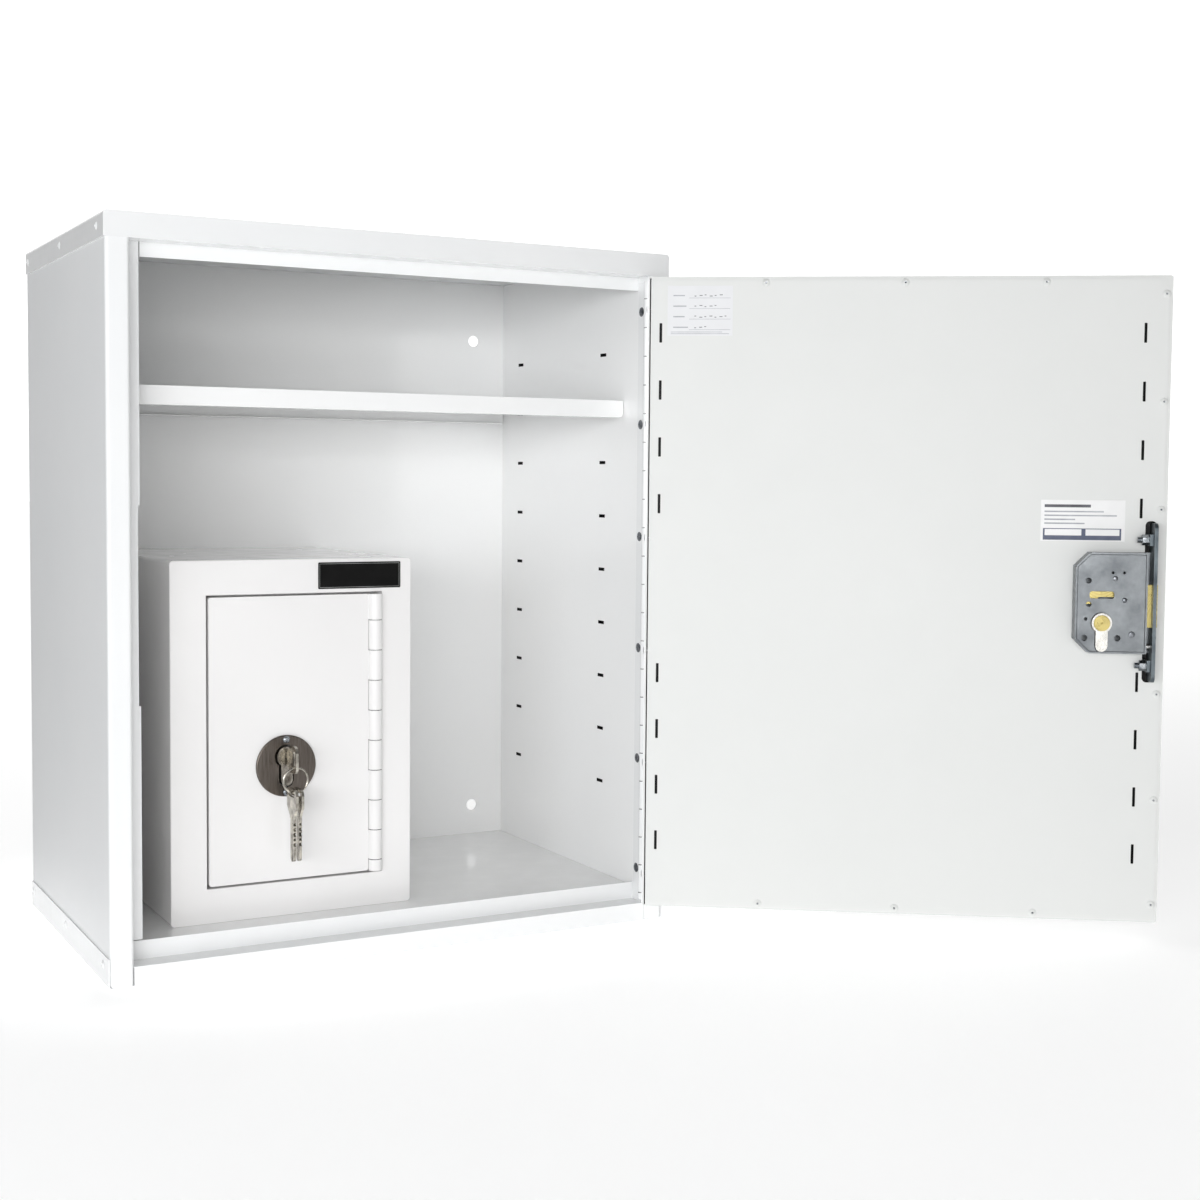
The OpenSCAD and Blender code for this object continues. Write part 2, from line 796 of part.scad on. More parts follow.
module hinge_leaf_door() color("white") place() in_main_door() difference() {
  intersection() {
    mirror([1, 0, 0]) main_hinge_leaf(1);
    box(-leaf_w, leaf_w, -leaf_w, door_t - 2 * sheet - 2 * leaf_seat, 0, cab_h);
  }
  at_hinge_screws_door() hinge_screw_hole();
}

module hinge_pin() color("silver") place() translate([pin_x, 0, door_z0 + hinge_short])
  cylinder(r = pin_r, h = door_z1 - door_z0 - 2 * hinge_short);

module hinge_screws_fixed() color("silver") place()
  at_hinge_screws_fixed() hinge_screw();

module hinge_screws_door() color("silver") place() in_main_door()
  at_hinge_screws_door() hinge_screw();

// ---------------------------------------------------------------- doors

// Door skin: face with flanges all round and lips on three sides
module door_skin_shape(x0, x1, z0, z1) {
  lip_y = door_t - 2 * sheet;
  plate_xz(0, sheet) round_rect(x0, x1, z0, z1, door_r);
  plate_xz(0, lip_y + sheet) difference() {
    round_rect(x0, x1, z0, z1, door_r);
    translate([x0 + sheet, z0 + sheet]) square([x1 - x0 - 2 * sheet, z1 - z0 - 2 * sheet]);
  }
  plate_xz(lip_y, lip_y + sheet) difference() {
    round_rect(x0, x1, z0, z1, door_r);
    translate([x0 + lip_w, z0 + lip_w]) square([x1 - x0, z1 - z0 - 2 * lip_w]);
    translate([x1 - sheet - panel_slot, z0 - eps]) square([sheet * 9, z1 - z0 + 2 * eps]);
  }
}

// Inner panel: square at the hinge, round at the lock edge
module door_panel_shape(x0, x1, z0, z1) {
  px0 = x0 + panel_inset;
  px1 = x1 - sheet - panel_slot;
  plate_xz(door_t - sheet, door_t) {
    round_rect(px0, px1, z0 + panel_inset, z1 - panel_inset, panel_r);
    translate([px1 - 2 * panel_r, z0 + panel_inset])
      square([2 * panel_r, z1 - z0 - 2 * panel_inset]);
  }
}

// Slot in the inner panel and lip that the forend stands in
module forend_slot(backset, out) {
  x1 = -backset + 2 * forend_t + forend_gap + case_seat;
  plate_xz(door_t - 2 * sheet - eps, door_t + eps)
    round_rect(-backset - out, x1, forend_low - notch_over,
               forend_low + forend_h + notch_over, notch_r);
}

module door_skin() color("white") place() in_main_door() difference() {
  door_skin_shape(door_x0, door_x1, door_z0, door_z1);
  translate([lock_x, 0, lock_z]) {
    profile_hole(-eps, sheet + eps, skin_gap);
    forend_slot(backset_main, notch_out_main);
    at_escutcheon_screws() rod_y(esc_screw_r + hole_gap, -eps, sheet + eps);
  }
  at_panel_rivets() cylinder(r = rivet_shank + hole_gap, h = 6 * sheet, center = true);
  at_hinge_screws_door() hinge_screw_hole();
}

module door_panel() color("white") place() in_main_door() difference() {
  door_panel_shape(door_x0, door_x1, door_z0, door_z1);
  at_rack_slots() plate_xz(door_t - 2 * sheet, door_t + eps)
    round_rect(-rack_t / 2, rack_t / 2, -rack_l / 2, rack_l / 2, 0.5);
  translate([lock_x, 0, lock_z]) {
    profile_hole(0, door_t + eps, cyl_gap);
    forend_slot(backset_main, notch_out_main);
  }
  at_panel_rivets() cylinder(r = rivet_shank + hole_gap, h = 6 * sheet, center = true);
}

module door_panel_rivets() color("white") place() in_main_door()
  at_panel_rivets() rivet(3 * sheet);

module door_record_label() color("whitesmoke") place() in_main_door()
  box(-rack_hinge - record_out - record_w, -rack_hinge - record_out, door_t, door_t + label_t,
      door_z1 - record_drop - record_h, door_z1 - record_drop);

module door_info_label() color("whitesmoke") place() in_main_lock()
  box(-info_left, info_w - info_left, door_t, door_t + label_t,
      case_up + info_up, case_up + info_up + info_h);

// ---------------------------------------------------------------- lock pieces

// Euro profile: round part above, bar with a round end below
module euro_profile(gap) {
  circle(cyl_r + gap);
  translate([-cyl_bar / 2 - gap, cyl_bar / 2 - cyl_drop])
    square([cyl_bar + 2 * gap, cyl_drop - cyl_bar / 2]);
  translate([0, cyl_bar / 2 - cyl_drop]) circle(cyl_bar / 2 + gap);
}

module profile_hole(y0, y1, gap) {
  plate_xz(y0, y1) euro_profile(gap);
}

// Case outline with its two cut corners, drawn smaller by inset
module case_outline(backset, inset) {
  x0 = -backset + 2 * forend_t + forend_gap + inset;
  x1 = case_back - inset;
  z0 = -case_down + inset;
  z1 = case_up - inset;
  c = case_cut - inset * 0.586;
  polygon([[x0, z0], [x1 - c, z0], [x1, z0 + c], [x1, z1 - c], [x1 - c, z1], [x0, z1]]);
}

// Ends of the case's cut corners, where its folded walls don't meet
module at_case_folds() {
  for (p = [[case_back, case_cut - case_down], [case_back - case_cut, -case_down],
            [case_back, case_up - case_cut], [case_back - case_cut, case_up]])
    translate([p[0], 0, p[1]]) children();
}

module at_lock_studs() {
  translate([stud_x, 0, stud_z]) children();
  translate([upper_stud_x, 0, upper_stud_z]) children();
  translate([cover_screw_x, 0, cover_screw_z]) children();
}

module bolt_window(x0, x1, gap) {
  box(x0, x1, lock_mid - bolt_t / 2 - gap, lock_mid + bolt_t / 2 + gap,
      bolt_low - gap, bolt_low + bolt_h + gap);
}

// Tray of the case with a tab that reaches the forend
module lock_case(backset) {
  face_x = -backset + 2 * forend_t;
  difference() {
    union() {
      plate_xz(case_y0, case_y0 + case_wall) case_outline(backset, 0);
      plate_xz(case_y0, case_y1) difference() {
        case_outline(backset, 0);
        case_outline(backset, case_wall);
      }
      box(face_x, face_x + forend_gap + eps, case_y0, case_y0 + case_wall,
          -case_down, case_up);
    }
    profile_hole(case_y0 - eps, case_y1, cyl_gap);
    at_case_folds() rod_y(case_fold_r, case_y0 + case_wall, case_y1 + eps);
    bolt_window(face_x + forend_gap - eps, face_x + forend_gap + case_wall + eps, move_gap);
    translate([0, lock_mid, cyl_screw_z])
      rod_x(forend_screw_r + hole_gap, face_x, face_x + forend_gap + 2 * case_wall);
    at_lock_studs() rod_y(stud_r + hole_gap, case_y0 - eps, case_y1);
  }
}

module lock_cover(backset) {
  plate_xz(case_y1 - case_wall, case_y1) difference() {
    case_outline(backset, case_wall + cover_gap);
    euro_profile(cyl_gap);
    for (h = cover_holes) translate([h[0], h[1]]) circle(h[2]);
    translate([0, cover_slot_z])
      round_rect(-cover_slot_half, cover_slot_half, -cover_slot_r - eps, cover_slot_r + eps,
                 cover_slot_r);
    for (p = [[stud_x, stud_z], [upper_stud_x, upper_stud_z], [cover_screw_x, cover_screw_z]])
      translate(p) circle(stud_r + hole_gap);
  }
}

// Two riveted studs and the cover screw
module lock_studs() {
  at_lock_studs() translate([0, case_y1, 0]) rotate([-90, 0, 0])
    translate([0, 0, -case_t]) cylinder(r = stud_r, h = case_t);
  for (p = [[stud_x, stud_z], [upper_stud_x, upper_stud_z]])
    translate([p[0], case_y1, p[1]]) rotate([-90, 0, 0]) dome(stud_r, 0.5);
  translate([cover_screw_x, case_y1, cover_screw_z]) rotate([-90, 0, 0])
    cross_screw(stud_r + 0.6, 0.7, stud_r, case_t);
}

// One forend plate from x0 to x1, pierced for the bolt and the screws
module forend_plate(x0, x1, cylinder_hole) {
  difference() {
    plate_yz(x0, x1) round_rect(lock_mid - forend_w / 2, lock_mid + forend_w / 2,
                                forend_low, forend_low + forend_h, forend_corner);
    bolt_window(x0 - eps, x1 + eps, move_gap);
    at_forend_screws() rod_x(forend_screw_r + hole_gap, x0 - eps, x1 + eps);
    if (cylinder_hole) translate([0, lock_mid, cyl_screw_z])
      rod_x(forend_screw_r + hole_gap, x0 - eps, x1 + eps);
  }
}

module at_forend_screws() {
  for (m = [-0.5, 0.5])
    translate([0, lock_mid, forend_screw_mid + m * forend_screw_span]) children();
}

module lock_brackets(backset) {
  x0 = -backset + 2 * forend_t;
  difference() {
    for (m = [-0.5, 0.5]) translate([0, 0, forend_screw_mid + m * forend_screw_span]) {
      box(x0, x0 + bracket_t, sheet, lock_mid + nut_r * 1.5, -bracket_half, bracket_half);
      box(x0, x0 + 2 * bracket_half, sheet, sheet + bracket_t, -bracket_half, bracket_half);
    }
    at_forend_screws() rod_x(forend_screw_r + hole_gap, x0 - eps, x0 + bracket_t + eps);
  }
}

module forend_screws(backset) {
  at_forend_screws() {
    rod_x(forend_screw_r, -backset,
          -backset + 2 * forend_t + bracket_t + nut_t + thread_end);
    translate([-backset, 0, 0]) rotate([0, -90, 0]) dome(forend_head_r, forend_head_h);
  }
}

module forend_nuts(backset) {
  x0 = -backset + 2 * forend_t + bracket_t;
  at_forend_screws() difference() {
    translate([x0, 0, 0]) rotate([0, 90, 0]) cylinder(r = nut_r, h = nut_t, $fn = 6);
    rod_x(forend_screw_r + hole_gap, x0 - eps, x0 + nut_t + eps);
  }
}

// Half cylinder with a gap for the cam and a tapped hole for its screw
module cylinder_body() {
  y1 = case_y1 + cyl_back;
  difference() {
    plate_xz(-cyl_out, y1) euro_profile(0);
    rod_y(plug_r + run_gap, -cyl_out - eps, y1 + eps);
    box(-cyl_r - eps, cyl_r + eps, lock_mid - cam_w / 2, lock_mid + cam_w / 2,
        bridge_top, cyl_r + eps);
    translate([0, lock_mid, cyl_screw_z])
      rod_x(forend_screw_r + hole_gap, -cyl_bar, cyl_bar);
  }
}

module cylinder_screw(backset) {
  head = forend_screw_r + 1.6;
  translate([0, lock_mid, cyl_screw_z]) {
    rod_x(forend_screw_r, -backset, 4);
    translate([-backset, 0, 0]) rotate([0, -90, 0]) dome(head, 1.2);
  }
}

// Plug with its keyway and the cam that drives the bolt
module lock_plug() {
  y1 = case_y1 + cyl_back + 0.4;
  keyway_t = key_t + 2 * key_gap;
  difference() {
    union() {
      rod_y(plug_r, -cyl_out - 0.4, y1);
      intersection() {
        rod_y(cam_r, lock_mid - cam_w / 2 + move_gap, lock_mid + cam_w / 2 - move_gap);
        union() {
          box(-cam_half, cam_half, 0, y1, -cam_r, 0);
          rod_y(plug_r + 1, 0, y1);
        }
      }
    }
    box(-keyway_t / 2, keyway_t / 2, -cyl_out - eps, -cyl_out + blade_l + 1,
        -blade_h / 2 - blade_drop - key_gap, blade_h / 2 - blade_drop + key_gap);
    rod_y(0.5, y1 - 0.6, y1 + eps);
  }
}

// Bolt head with its tail, slotted for the guide stud
module lock_bolt(backset) {
  head_x1 = -backset - bolt_out + bolt_head_l;
  tail_y1 = lock_mid + bolt_t / 2;
  slot_r = stud_r + move_gap;
  difference() {
    union() {
      box(-backset - bolt_out, head_x1, lock_mid - bolt_t / 2, tail_y1,
          bolt_low, bolt_low + bolt_h);
      box(-backset + bolt_head_l / 2, tail_back, tail_y1 - tail_t, tail_y1,
          tail_low, tail_low + tail_h);
    }
    plate_xz(tail_y1 - tail_t - eps, tail_y1 + eps) {
      translate([stud_x, stud_z]) circle(slot_r);
      translate([stud_x + bolt_throw, stud_z]) circle(slot_r);
      translate([stud_x, stud_z - slot_r]) square([bolt_throw, 2 * slot_r]);
    }
  }
}

module at_escutcheon_screws() {
  mid = cyl_r - cyl_h / 2;
  for (m = [-1, 1]) translate([0, 0, mid + m * esc_screw_out]) children();
}

// Round plate with a soft outer edge, cut for the cylinder
module escutcheon() {
  edge = 1;
  difference() {
    translate([0, 0, cyl_r - cyl_h / 2]) rotate([90, 0, 0]) rotate_extrude($fn = 96) {
      square([esc_r - edge, esc_t]);
      square([esc_r, esc_t - edge]);
      translate([esc_r - edge, esc_t - edge]) circle(edge);
    }
    plate_xz(-esc_t - eps, eps) euro_profile(esc_gap);
    at_escutcheon_screws() rod_y(esc_screw_r + hole_gap, -esc_t - eps, eps);
  }
}

module escutcheon_screws() {
  at_escutcheon_screws() difference() {
    union() {
      rod_y(esc_screw_r, -esc_t, door_t / 2);
      translate([0, -esc_t, 0]) rotate([90, 0, 0]) dome(esc_head_r, esc_head_h);
    }
    translate([0, -esc_t - esc_head_h / 3, 0]) rotate([90, 0, 0])
      cylinder(r = esc_head_r * 0.5, h = 2 * esc_head_h, $fn = 6);
  }
}

module door_lock_brackets() color("dimgray") place() in_main_lock() lock_brackets(backset_main);
module door_lock_case() color("slategray") place() in_main_lock() lock_case(backset_main);
module door_lock_cover() color("slategray") place() in_main_lock() lock_cover(backset_main);
module door_lock_studs() color("gray") place() in_main_lock() lock_studs();
module door_lock_forend() color("slategray") place() in_main_lock()
  forend_plate(-backset_main + forend_t, -backset_main + 2 * forend_t, true);
module door_lock_faceplate() color("lightgray") place() in_main_lock()
  forend_plate(-backset_main, -backset_main + forend_t, true);
module door_forend_screws() color("silver") place() in_main_lock() forend_screws(backset_main);
module door_forend_nuts() color("silver") place() in_main_lock() forend_nuts(backset_main);
module door_cylinder() color("gainsboro") place() in_main_lock() cylinder_body();
module door_cylinder_screw() color("silver") place() in_main_lock()
  cylinder_screw(backset_main);
module door_escutcheon() color("silver") place() in_main_lock() escutcheon();
module door_escutcheon_screws() color("silver") place() in_main_lock() escutcheon_screws();
module door_lock_plug() color("goldenrod") place() in_main_lock() lock_plug();
module door_lock_bolt() color("goldenrod") place() in_main_lock() lock_bolt(backset_main);

// ---------------------------------------------------------------- inner cabinet

module inner_carcass() color("white") place() {
  y0 = cdc_front + cdc_sheet;
  x1 = cdc_x + cdc_w;
  difference() {
    plate_xz(y0, back_y) round_rect(cdc_x, x1, cdc_z0, cdc_z1, cdc_r);
    plate_xz(y0 - eps, back_y - cdc_sheet)
      round_rect(cdc_x + cdc_sheet, x1 - cdc_sheet, cdc_z0 + cdc_sheet, cdc_z1 - cdc_sheet,
                 cdc_r - cdc_sheet);
    at_cdc_bolts() rod_y(cdc_bolt_r + hole_gap, back_y - 2 * cdc_sheet, back_y + eps);
  }
}

module inner_front_frame() color("white") place() {
  y1 = cdc_front + recess_d;
  difference() {
    union() {
      plate_xz(cdc_front, cdc_front + cdc_sheet)
        round_rect(cdc_x, cdc_x + cdc_w, cdc_z0, cdc_z1, cdc_r);
      box(cdc_open_x0 - cdc_sheet, cdc_open_x1 + cdc_sheet, cdc_front, y1,
          cdc_open_z0 - cdc_sheet, cdc_open_z1 + cdc_sheet);
    }
    box(cdc_open_x0, cdc_open_x1, cdc_front - eps, y1 + eps, cdc_open_z0, cdc_open_z1);
  }
  box(cdc_open_x0, cdc_open_x1, y1 - cdc_sheet, y1, cdc_open_z1 - cdc_stop, cdc_open_z1);
  box(cdc_open_x0, cdc_open_x1, y1 - cdc_sheet, y1, cdc_open_z0, cdc_open_z0 + cdc_stop);
}

module inner_fixing_bolts() color("silver") place() at_cdc_bolts() {
  rod_y(cdc_bolt_r, back_y - cdc_sheet - 1, cdc_front + cdc_d + sheet);
  translate([0, back_y - cdc_sheet, 0]) rotate([90, 0, 0])
    cylinder(r = cdc_bolt_r * 1.9, h = cdc_bolt_r * 1.3, $fn = 6);
}

module inner_plaque() color("black") place() {
  x1 = cdc_x + cdc_w - 10;
  z1 = cdc_z1 - (cdc_rim_top - plaque_h) / 2;
  plate_xz(cdc_front - plaque_t, cdc_front) round_rect(x1 - plaque_w, x1, z1 - plaque_h, z1, 1);
}

module inner_hinge_leaf(part) {
  hinge_leaf(cdc_knuckle_r, cdc_pin_r + run_gap, cdc_leaf_t, leaf_w - 3, cdc_door_z0,
             cdc_door_z1, cdc_knuckle_first, cdc_knuckle_pitch, part);
}

module inner_hinge_leaf_fixed() color("white") place() in_inner_door() inner_hinge_leaf(0);

module inner_hinge_leaf_door() color("white") place() in_inner_door()
  mirror([1, 0, 0]) inner_hinge_leaf(1);

module inner_hinge_pin() color("silver") place() in_inner_door()
  translate([0, 0, cdc_door_z0]) cylinder(r = cdc_pin_r, h = cdc_door_z1 - cdc_door_z0);

module inner_door_skin() color("white") place() in_inner_door() difference() {
  door_skin_shape(cdc_door_x0, cdc_door_x1, cdc_door_z0, cdc_door_z1);
  translate([-cdc_lock_out, 0, cdc_lock_z]) {
    profile_hole(-eps, sheet + eps, skin_gap);
    forend_slot(backset_inner, notch_out_inner);
    at_escutcheon_screws() rod_y(esc_screw_r + hole_gap, -eps, sheet + eps);
  }
}

module inner_door_panel() color("white") place() in_inner_door() difference() {
  door_panel_shape(cdc_door_x0, cdc_door_x1, cdc_door_z0, cdc_door_z1);
  translate([-cdc_lock_out, 0, cdc_lock_z]) {
    profile_hole(0, door_t + eps, cyl_gap);
    forend_slot(backset_inner, notch_out_inner);
  }
}

module inner_lock_case() color("slategray") place() in_inner_lock() lock_case(backset_inner);
module inner_lock_cover() color("slategray") place() in_inner_lock() lock_cover(backset_inner);
module inner_lock_studs() color("gray") place() in_inner_lock() lock_studs();
module inner_lock_forend() color("slategray") place() in_inner_lock()
  forend_plate(-backset_inner, -backset_inner + 2 * forend_t, true);
module inner_forend_screws() color("silver") place() in_inner_lock()
  forend_screws(backset_inner);
module inner_cylinder() color("gainsboro") place() in_inner_lock() cylinder_body();
module inner_cylinder_screw() color("silver") place() in_inner_lock()
  cylinder_screw(backset_inner);
module inner_escutcheon() color("silver") place() in_inner_lock() escutcheon();
module inner_escutcheon_screws() color("silver") place() in_inner_lock() escutcheon_screws();
module inner_lock_plug() color("goldenrod") place() in_inner_lock() lock_plug();
module inner_lock_bolt() color("goldenrod") place() in_inner_lock() lock_bolt(backset_inner);

// ---------------------------------------------------------------- keys

// Shield-shaped bow: square at the ring's end, tapered to the blade
module bow_outline() {
  taper = bow_r * 0.3;
  round_rect(-bow_r, taper, -bow_r, bow_r, bow_r * 0.5);
  polygon([[-bow_r * 0.5, -bow_r], [taper, -bow_r], [bow_r, -blade_h / 2 - blade_drop],
           [bow_r, blade_h / 2], [taper, bow_r], [-bow_r * 0.5, bow_r]]);
}

// Slot across the bow that the ring passes through
module bow_slot() {
  reach = bow_hole_half - bow_hole_r;
  translate([-bow_hole_out - bow_hole_r, -reach]) square([2 * bow_hole_r, 2 * reach]);
  for (y = [-reach, reach]) translate([-bow_hole_out, y]) circle(bow_hole_r);
}

// Blade outline from its shoulder to its rounded tip, with its bitting
module blade_outline(from, len) {
  low = -blade_h / 2 - blade_drop;
  tip = from + len - blade_h / 2;
  difference() {
    union() {
      translate([bow_r - 1, low]) square([from - bow_r + 1, blade_h + blade_drop]);
      translate([from - 0.5, low]) square([tip - from + 0.5, blade_h]);
      translate([tip, -blade_drop]) circle(blade_h / 2);
    }
    for (k = [0 : 4]) translate([from + 4.5 + k * bit_pitch, low])
      rotate(45) square(bit_depth + 0.5 * (k % 3), center = true);
  }
}

// Key lying in Y and Z: bow at the origin, blade along +Y, with a milled groove on each side
module key_shape(blade_from, blade_len) {
  difference() {
    plate_yz(-key_t / 2, key_t / 2) difference() {
      union() {
        bow_outline();
        blade_outline(blade_from, blade_len);
      }
      bow_slot();
    }
    box(key_t / 2 - groove_d, key_t, bow_r, blade_from + blade_len + eps,
        groove_z, groove_z + groove_w);
    box(-key_t, groove_d - key_t / 2, bow_r, blade_from + blade_len + eps,
        groove_z - 2 * groove_w, groove_z - groove_w);
  }
}

module key_in_lock() color("silver") place() in_inner_lock() translate([0, bow_y, 0])
  key_shape(-cyl_out - bow_y - 0.4 - key_gap, blade_l);

module key_ring() color("silver") place() in_inner_lock() translate([0, hole_y, ring_z])
  rotate([90, 0, 0]) rotate_extrude($fn = 96) translate([ring_r, 0]) circle(ring_wire_r, $fn = 24);

// Spare key hanging blade down
module spare_key(side) {
  translate([side * key_spread / 2, hole_y, hang_hole_z]) rotate([-90, 0, 0])
    translate([0, bow_hole_out, 0]) key_shape(bow_r + 2, blade_l);
}

module spare_key_left() color("silver") place() in_inner_lock() spare_key(-1);
module spare_key_right() color("silver") place() in_inner_lock() spare_key(1);

// ---------------------------------------------------------------- assembly

top_cap();
base_tray();
side_panel_left();
side_panel_right();
side_liner_left();
side_liner_right();
back_panel();
floor_panel();
cap_rivets();
base_rivets();
shelf_clips();
shelf();
hinge_leaf_fixed();
hinge_leaf_door();
hinge_pin();
hinge_screws_fixed();
hinge_screws_door();
door_skin();
door_panel();
door_panel_rivets();
door_record_label();
door_info_label();
door_lock_brackets();
door_lock_case();
door_lock_cover();
door_lock_studs();
door_lock_forend();
door_lock_faceplate();
door_forend_screws();
door_forend_nuts();
door_cylinder();
door_cylinder_screw();
door_escutcheon();
door_escutcheon_screws();
door_lock_plug();
door_lock_bolt();
inner_carcass();
inner_front_frame();
inner_fixing_bolts();
inner_plaque();
inner_hinge_leaf_fixed();
inner_hinge_leaf_door();
inner_hinge_pin();
inner_door_skin();
inner_door_panel();
inner_lock_case();
inner_lock_cover();
inner_lock_studs();
inner_lock_forend();
inner_forend_screws();
inner_cylinder();
inner_cylinder_screw();
inner_escutcheon();
inner_escutcheon_screws();
inner_lock_plug();
inner_lock_bolt();
key_in_lock();
key_ring();
spare_key_left();
spare_key_right();
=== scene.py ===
"""Looks of a lockable steel medicine cabinet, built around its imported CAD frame.

Metres, +Z up. The origin is the centre of the underside and the front faces -Y. The main door
stands open at rest, so what lies on it is drawn in the door's own frame: origin on the hinge
axis, -X to the free edge, +Y through the door to its inner face.
"""

import json
import math

import bpy
from mathutils import Matrix, Vector


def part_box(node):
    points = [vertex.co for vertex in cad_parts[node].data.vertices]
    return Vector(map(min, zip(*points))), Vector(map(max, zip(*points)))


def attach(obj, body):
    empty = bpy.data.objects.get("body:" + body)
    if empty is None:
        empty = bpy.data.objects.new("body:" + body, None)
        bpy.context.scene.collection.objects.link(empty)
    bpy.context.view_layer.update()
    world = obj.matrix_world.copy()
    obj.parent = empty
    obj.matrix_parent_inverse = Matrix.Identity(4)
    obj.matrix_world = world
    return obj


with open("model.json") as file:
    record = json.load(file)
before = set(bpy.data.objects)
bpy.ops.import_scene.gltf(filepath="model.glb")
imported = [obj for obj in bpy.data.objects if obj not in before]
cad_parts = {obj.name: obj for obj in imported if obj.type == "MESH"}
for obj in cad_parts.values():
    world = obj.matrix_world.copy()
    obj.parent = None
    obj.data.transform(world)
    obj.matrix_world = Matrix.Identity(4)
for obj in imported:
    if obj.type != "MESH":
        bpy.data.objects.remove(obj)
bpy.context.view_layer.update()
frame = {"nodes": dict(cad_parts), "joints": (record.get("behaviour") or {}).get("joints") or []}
nodes = frame["nodes"]
joints = {j["name"]: j for j in frame["joints"]}

MM = 0.001

# ---------------------------------------------------------------- sizes shared with the CAD source

CABINET_H = 600 * MM
DOOR_OPEN = math.radians(145.3)
DOOR_T = 18 * MM
DOOR_TOP = 577 * MM
LOCK_FROM_HINGE = 395.1 * MM
LOCK_Z = 280 * MM

CABINET_FRAME = Matrix.Identity(4)
HINGE_POINT = Vector(joints["main_door_hinge"]["pos_m"])
HINGE_POINT.z = 0
DOOR_FRAME = Matrix.Translation(HINGE_POINT) @ Matrix.Rotation(DOOR_OPEN, 4, "Z")
MAIN_LOCK = DOOR_FRAME @ Matrix.Translation((-LOCK_FROM_HINGE, 0, LOCK_Z))
INNER_LOCK_POINT = Vector(joints["inner_key_turn"]["pos_m"])
INNER_LOCK_POINT.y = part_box("inner_front_frame")[0].y
INNER_LOCK = Matrix.Translation(INNER_LOCK_POINT)

# ---------------------------------------------------------------- nodes


class Nodes:
    """A node tree with short helpers. Each socket takes a value or another node's output."""

    MIX_FACTOR, MIX_A, MIX_B, MIX_RESULT = 0, 6, 7, 2   # sockets of a Mix node for colours

    def __init__(self, tree):
        self.tree = tree

    def fill(self, node, sockets):
        for socket, value in sockets.items():
            if isinstance(value, bpy.types.NodeSocket):
                self.tree.links.new(value, node.inputs[socket])
            else:
                node.inputs[socket].default_value = value

    def add(self, kind, sockets=None, **settings):
        """A new node with its settings made and its sockets filled."""
        node = self.tree.nodes.new(kind)
        for key, value in settings.items():
            setattr(node, key, value)
        self.fill(node, sockets or {})
        return node

    def maths(self, operation, *values):
        sockets = dict(enumerate(values))
        return self.add("ShaderNodeMath", sockets, operation=operation).outputs["Value"]

    def vector_maths(self, operation, *values):
        sockets = dict(enumerate(values))
        return self.add("ShaderNodeVectorMath", sockets, operation=operation).outputs["Vector"]

    def along(self, vector, direction):
        """How far a vector reaches in a direction."""
        sockets = {0: vector, 1: direction}
        return self.add("ShaderNodeVectorMath", sockets, operation="DOT_PRODUCT").outputs["Value"]

    def axes(self, vector):
        return self.add("ShaderNodeSeparateXYZ", {"Vector": vector}).outputs

    def spread(self, factor, low, high, start=0.3, end=0.7):
        """A factor turned into a value between low and high."""
        return self.add("ShaderNodeMapRange", {
            "Value": factor, "From Min": start, "From Max": end, "To Min": low, "To Max": high,
        }).outputs["Result"]

    def tint(self, factor, low, high, start=0.3, end=0.7):
        """A colour that runs from low to high with a factor."""
        made = self.add("ShaderNodeValToRGB", {"Fac": factor})
        first, last = made.color_ramp.elements
        first.position, last.position = start, end
        first.color, last.color = (*low, 1), (*high, 1)
        return made.outputs["Color"]

    def mixed(self, factor, first, second):
        """One colour, and another over it where the factor is 1."""
        sockets = {self.MIX_FACTOR: factor, self.MIX_A: first, self.MIX_B: second}
        return self.add("ShaderNodeMix", sockets, data_type="RGBA").outputs[self.MIX_RESULT]


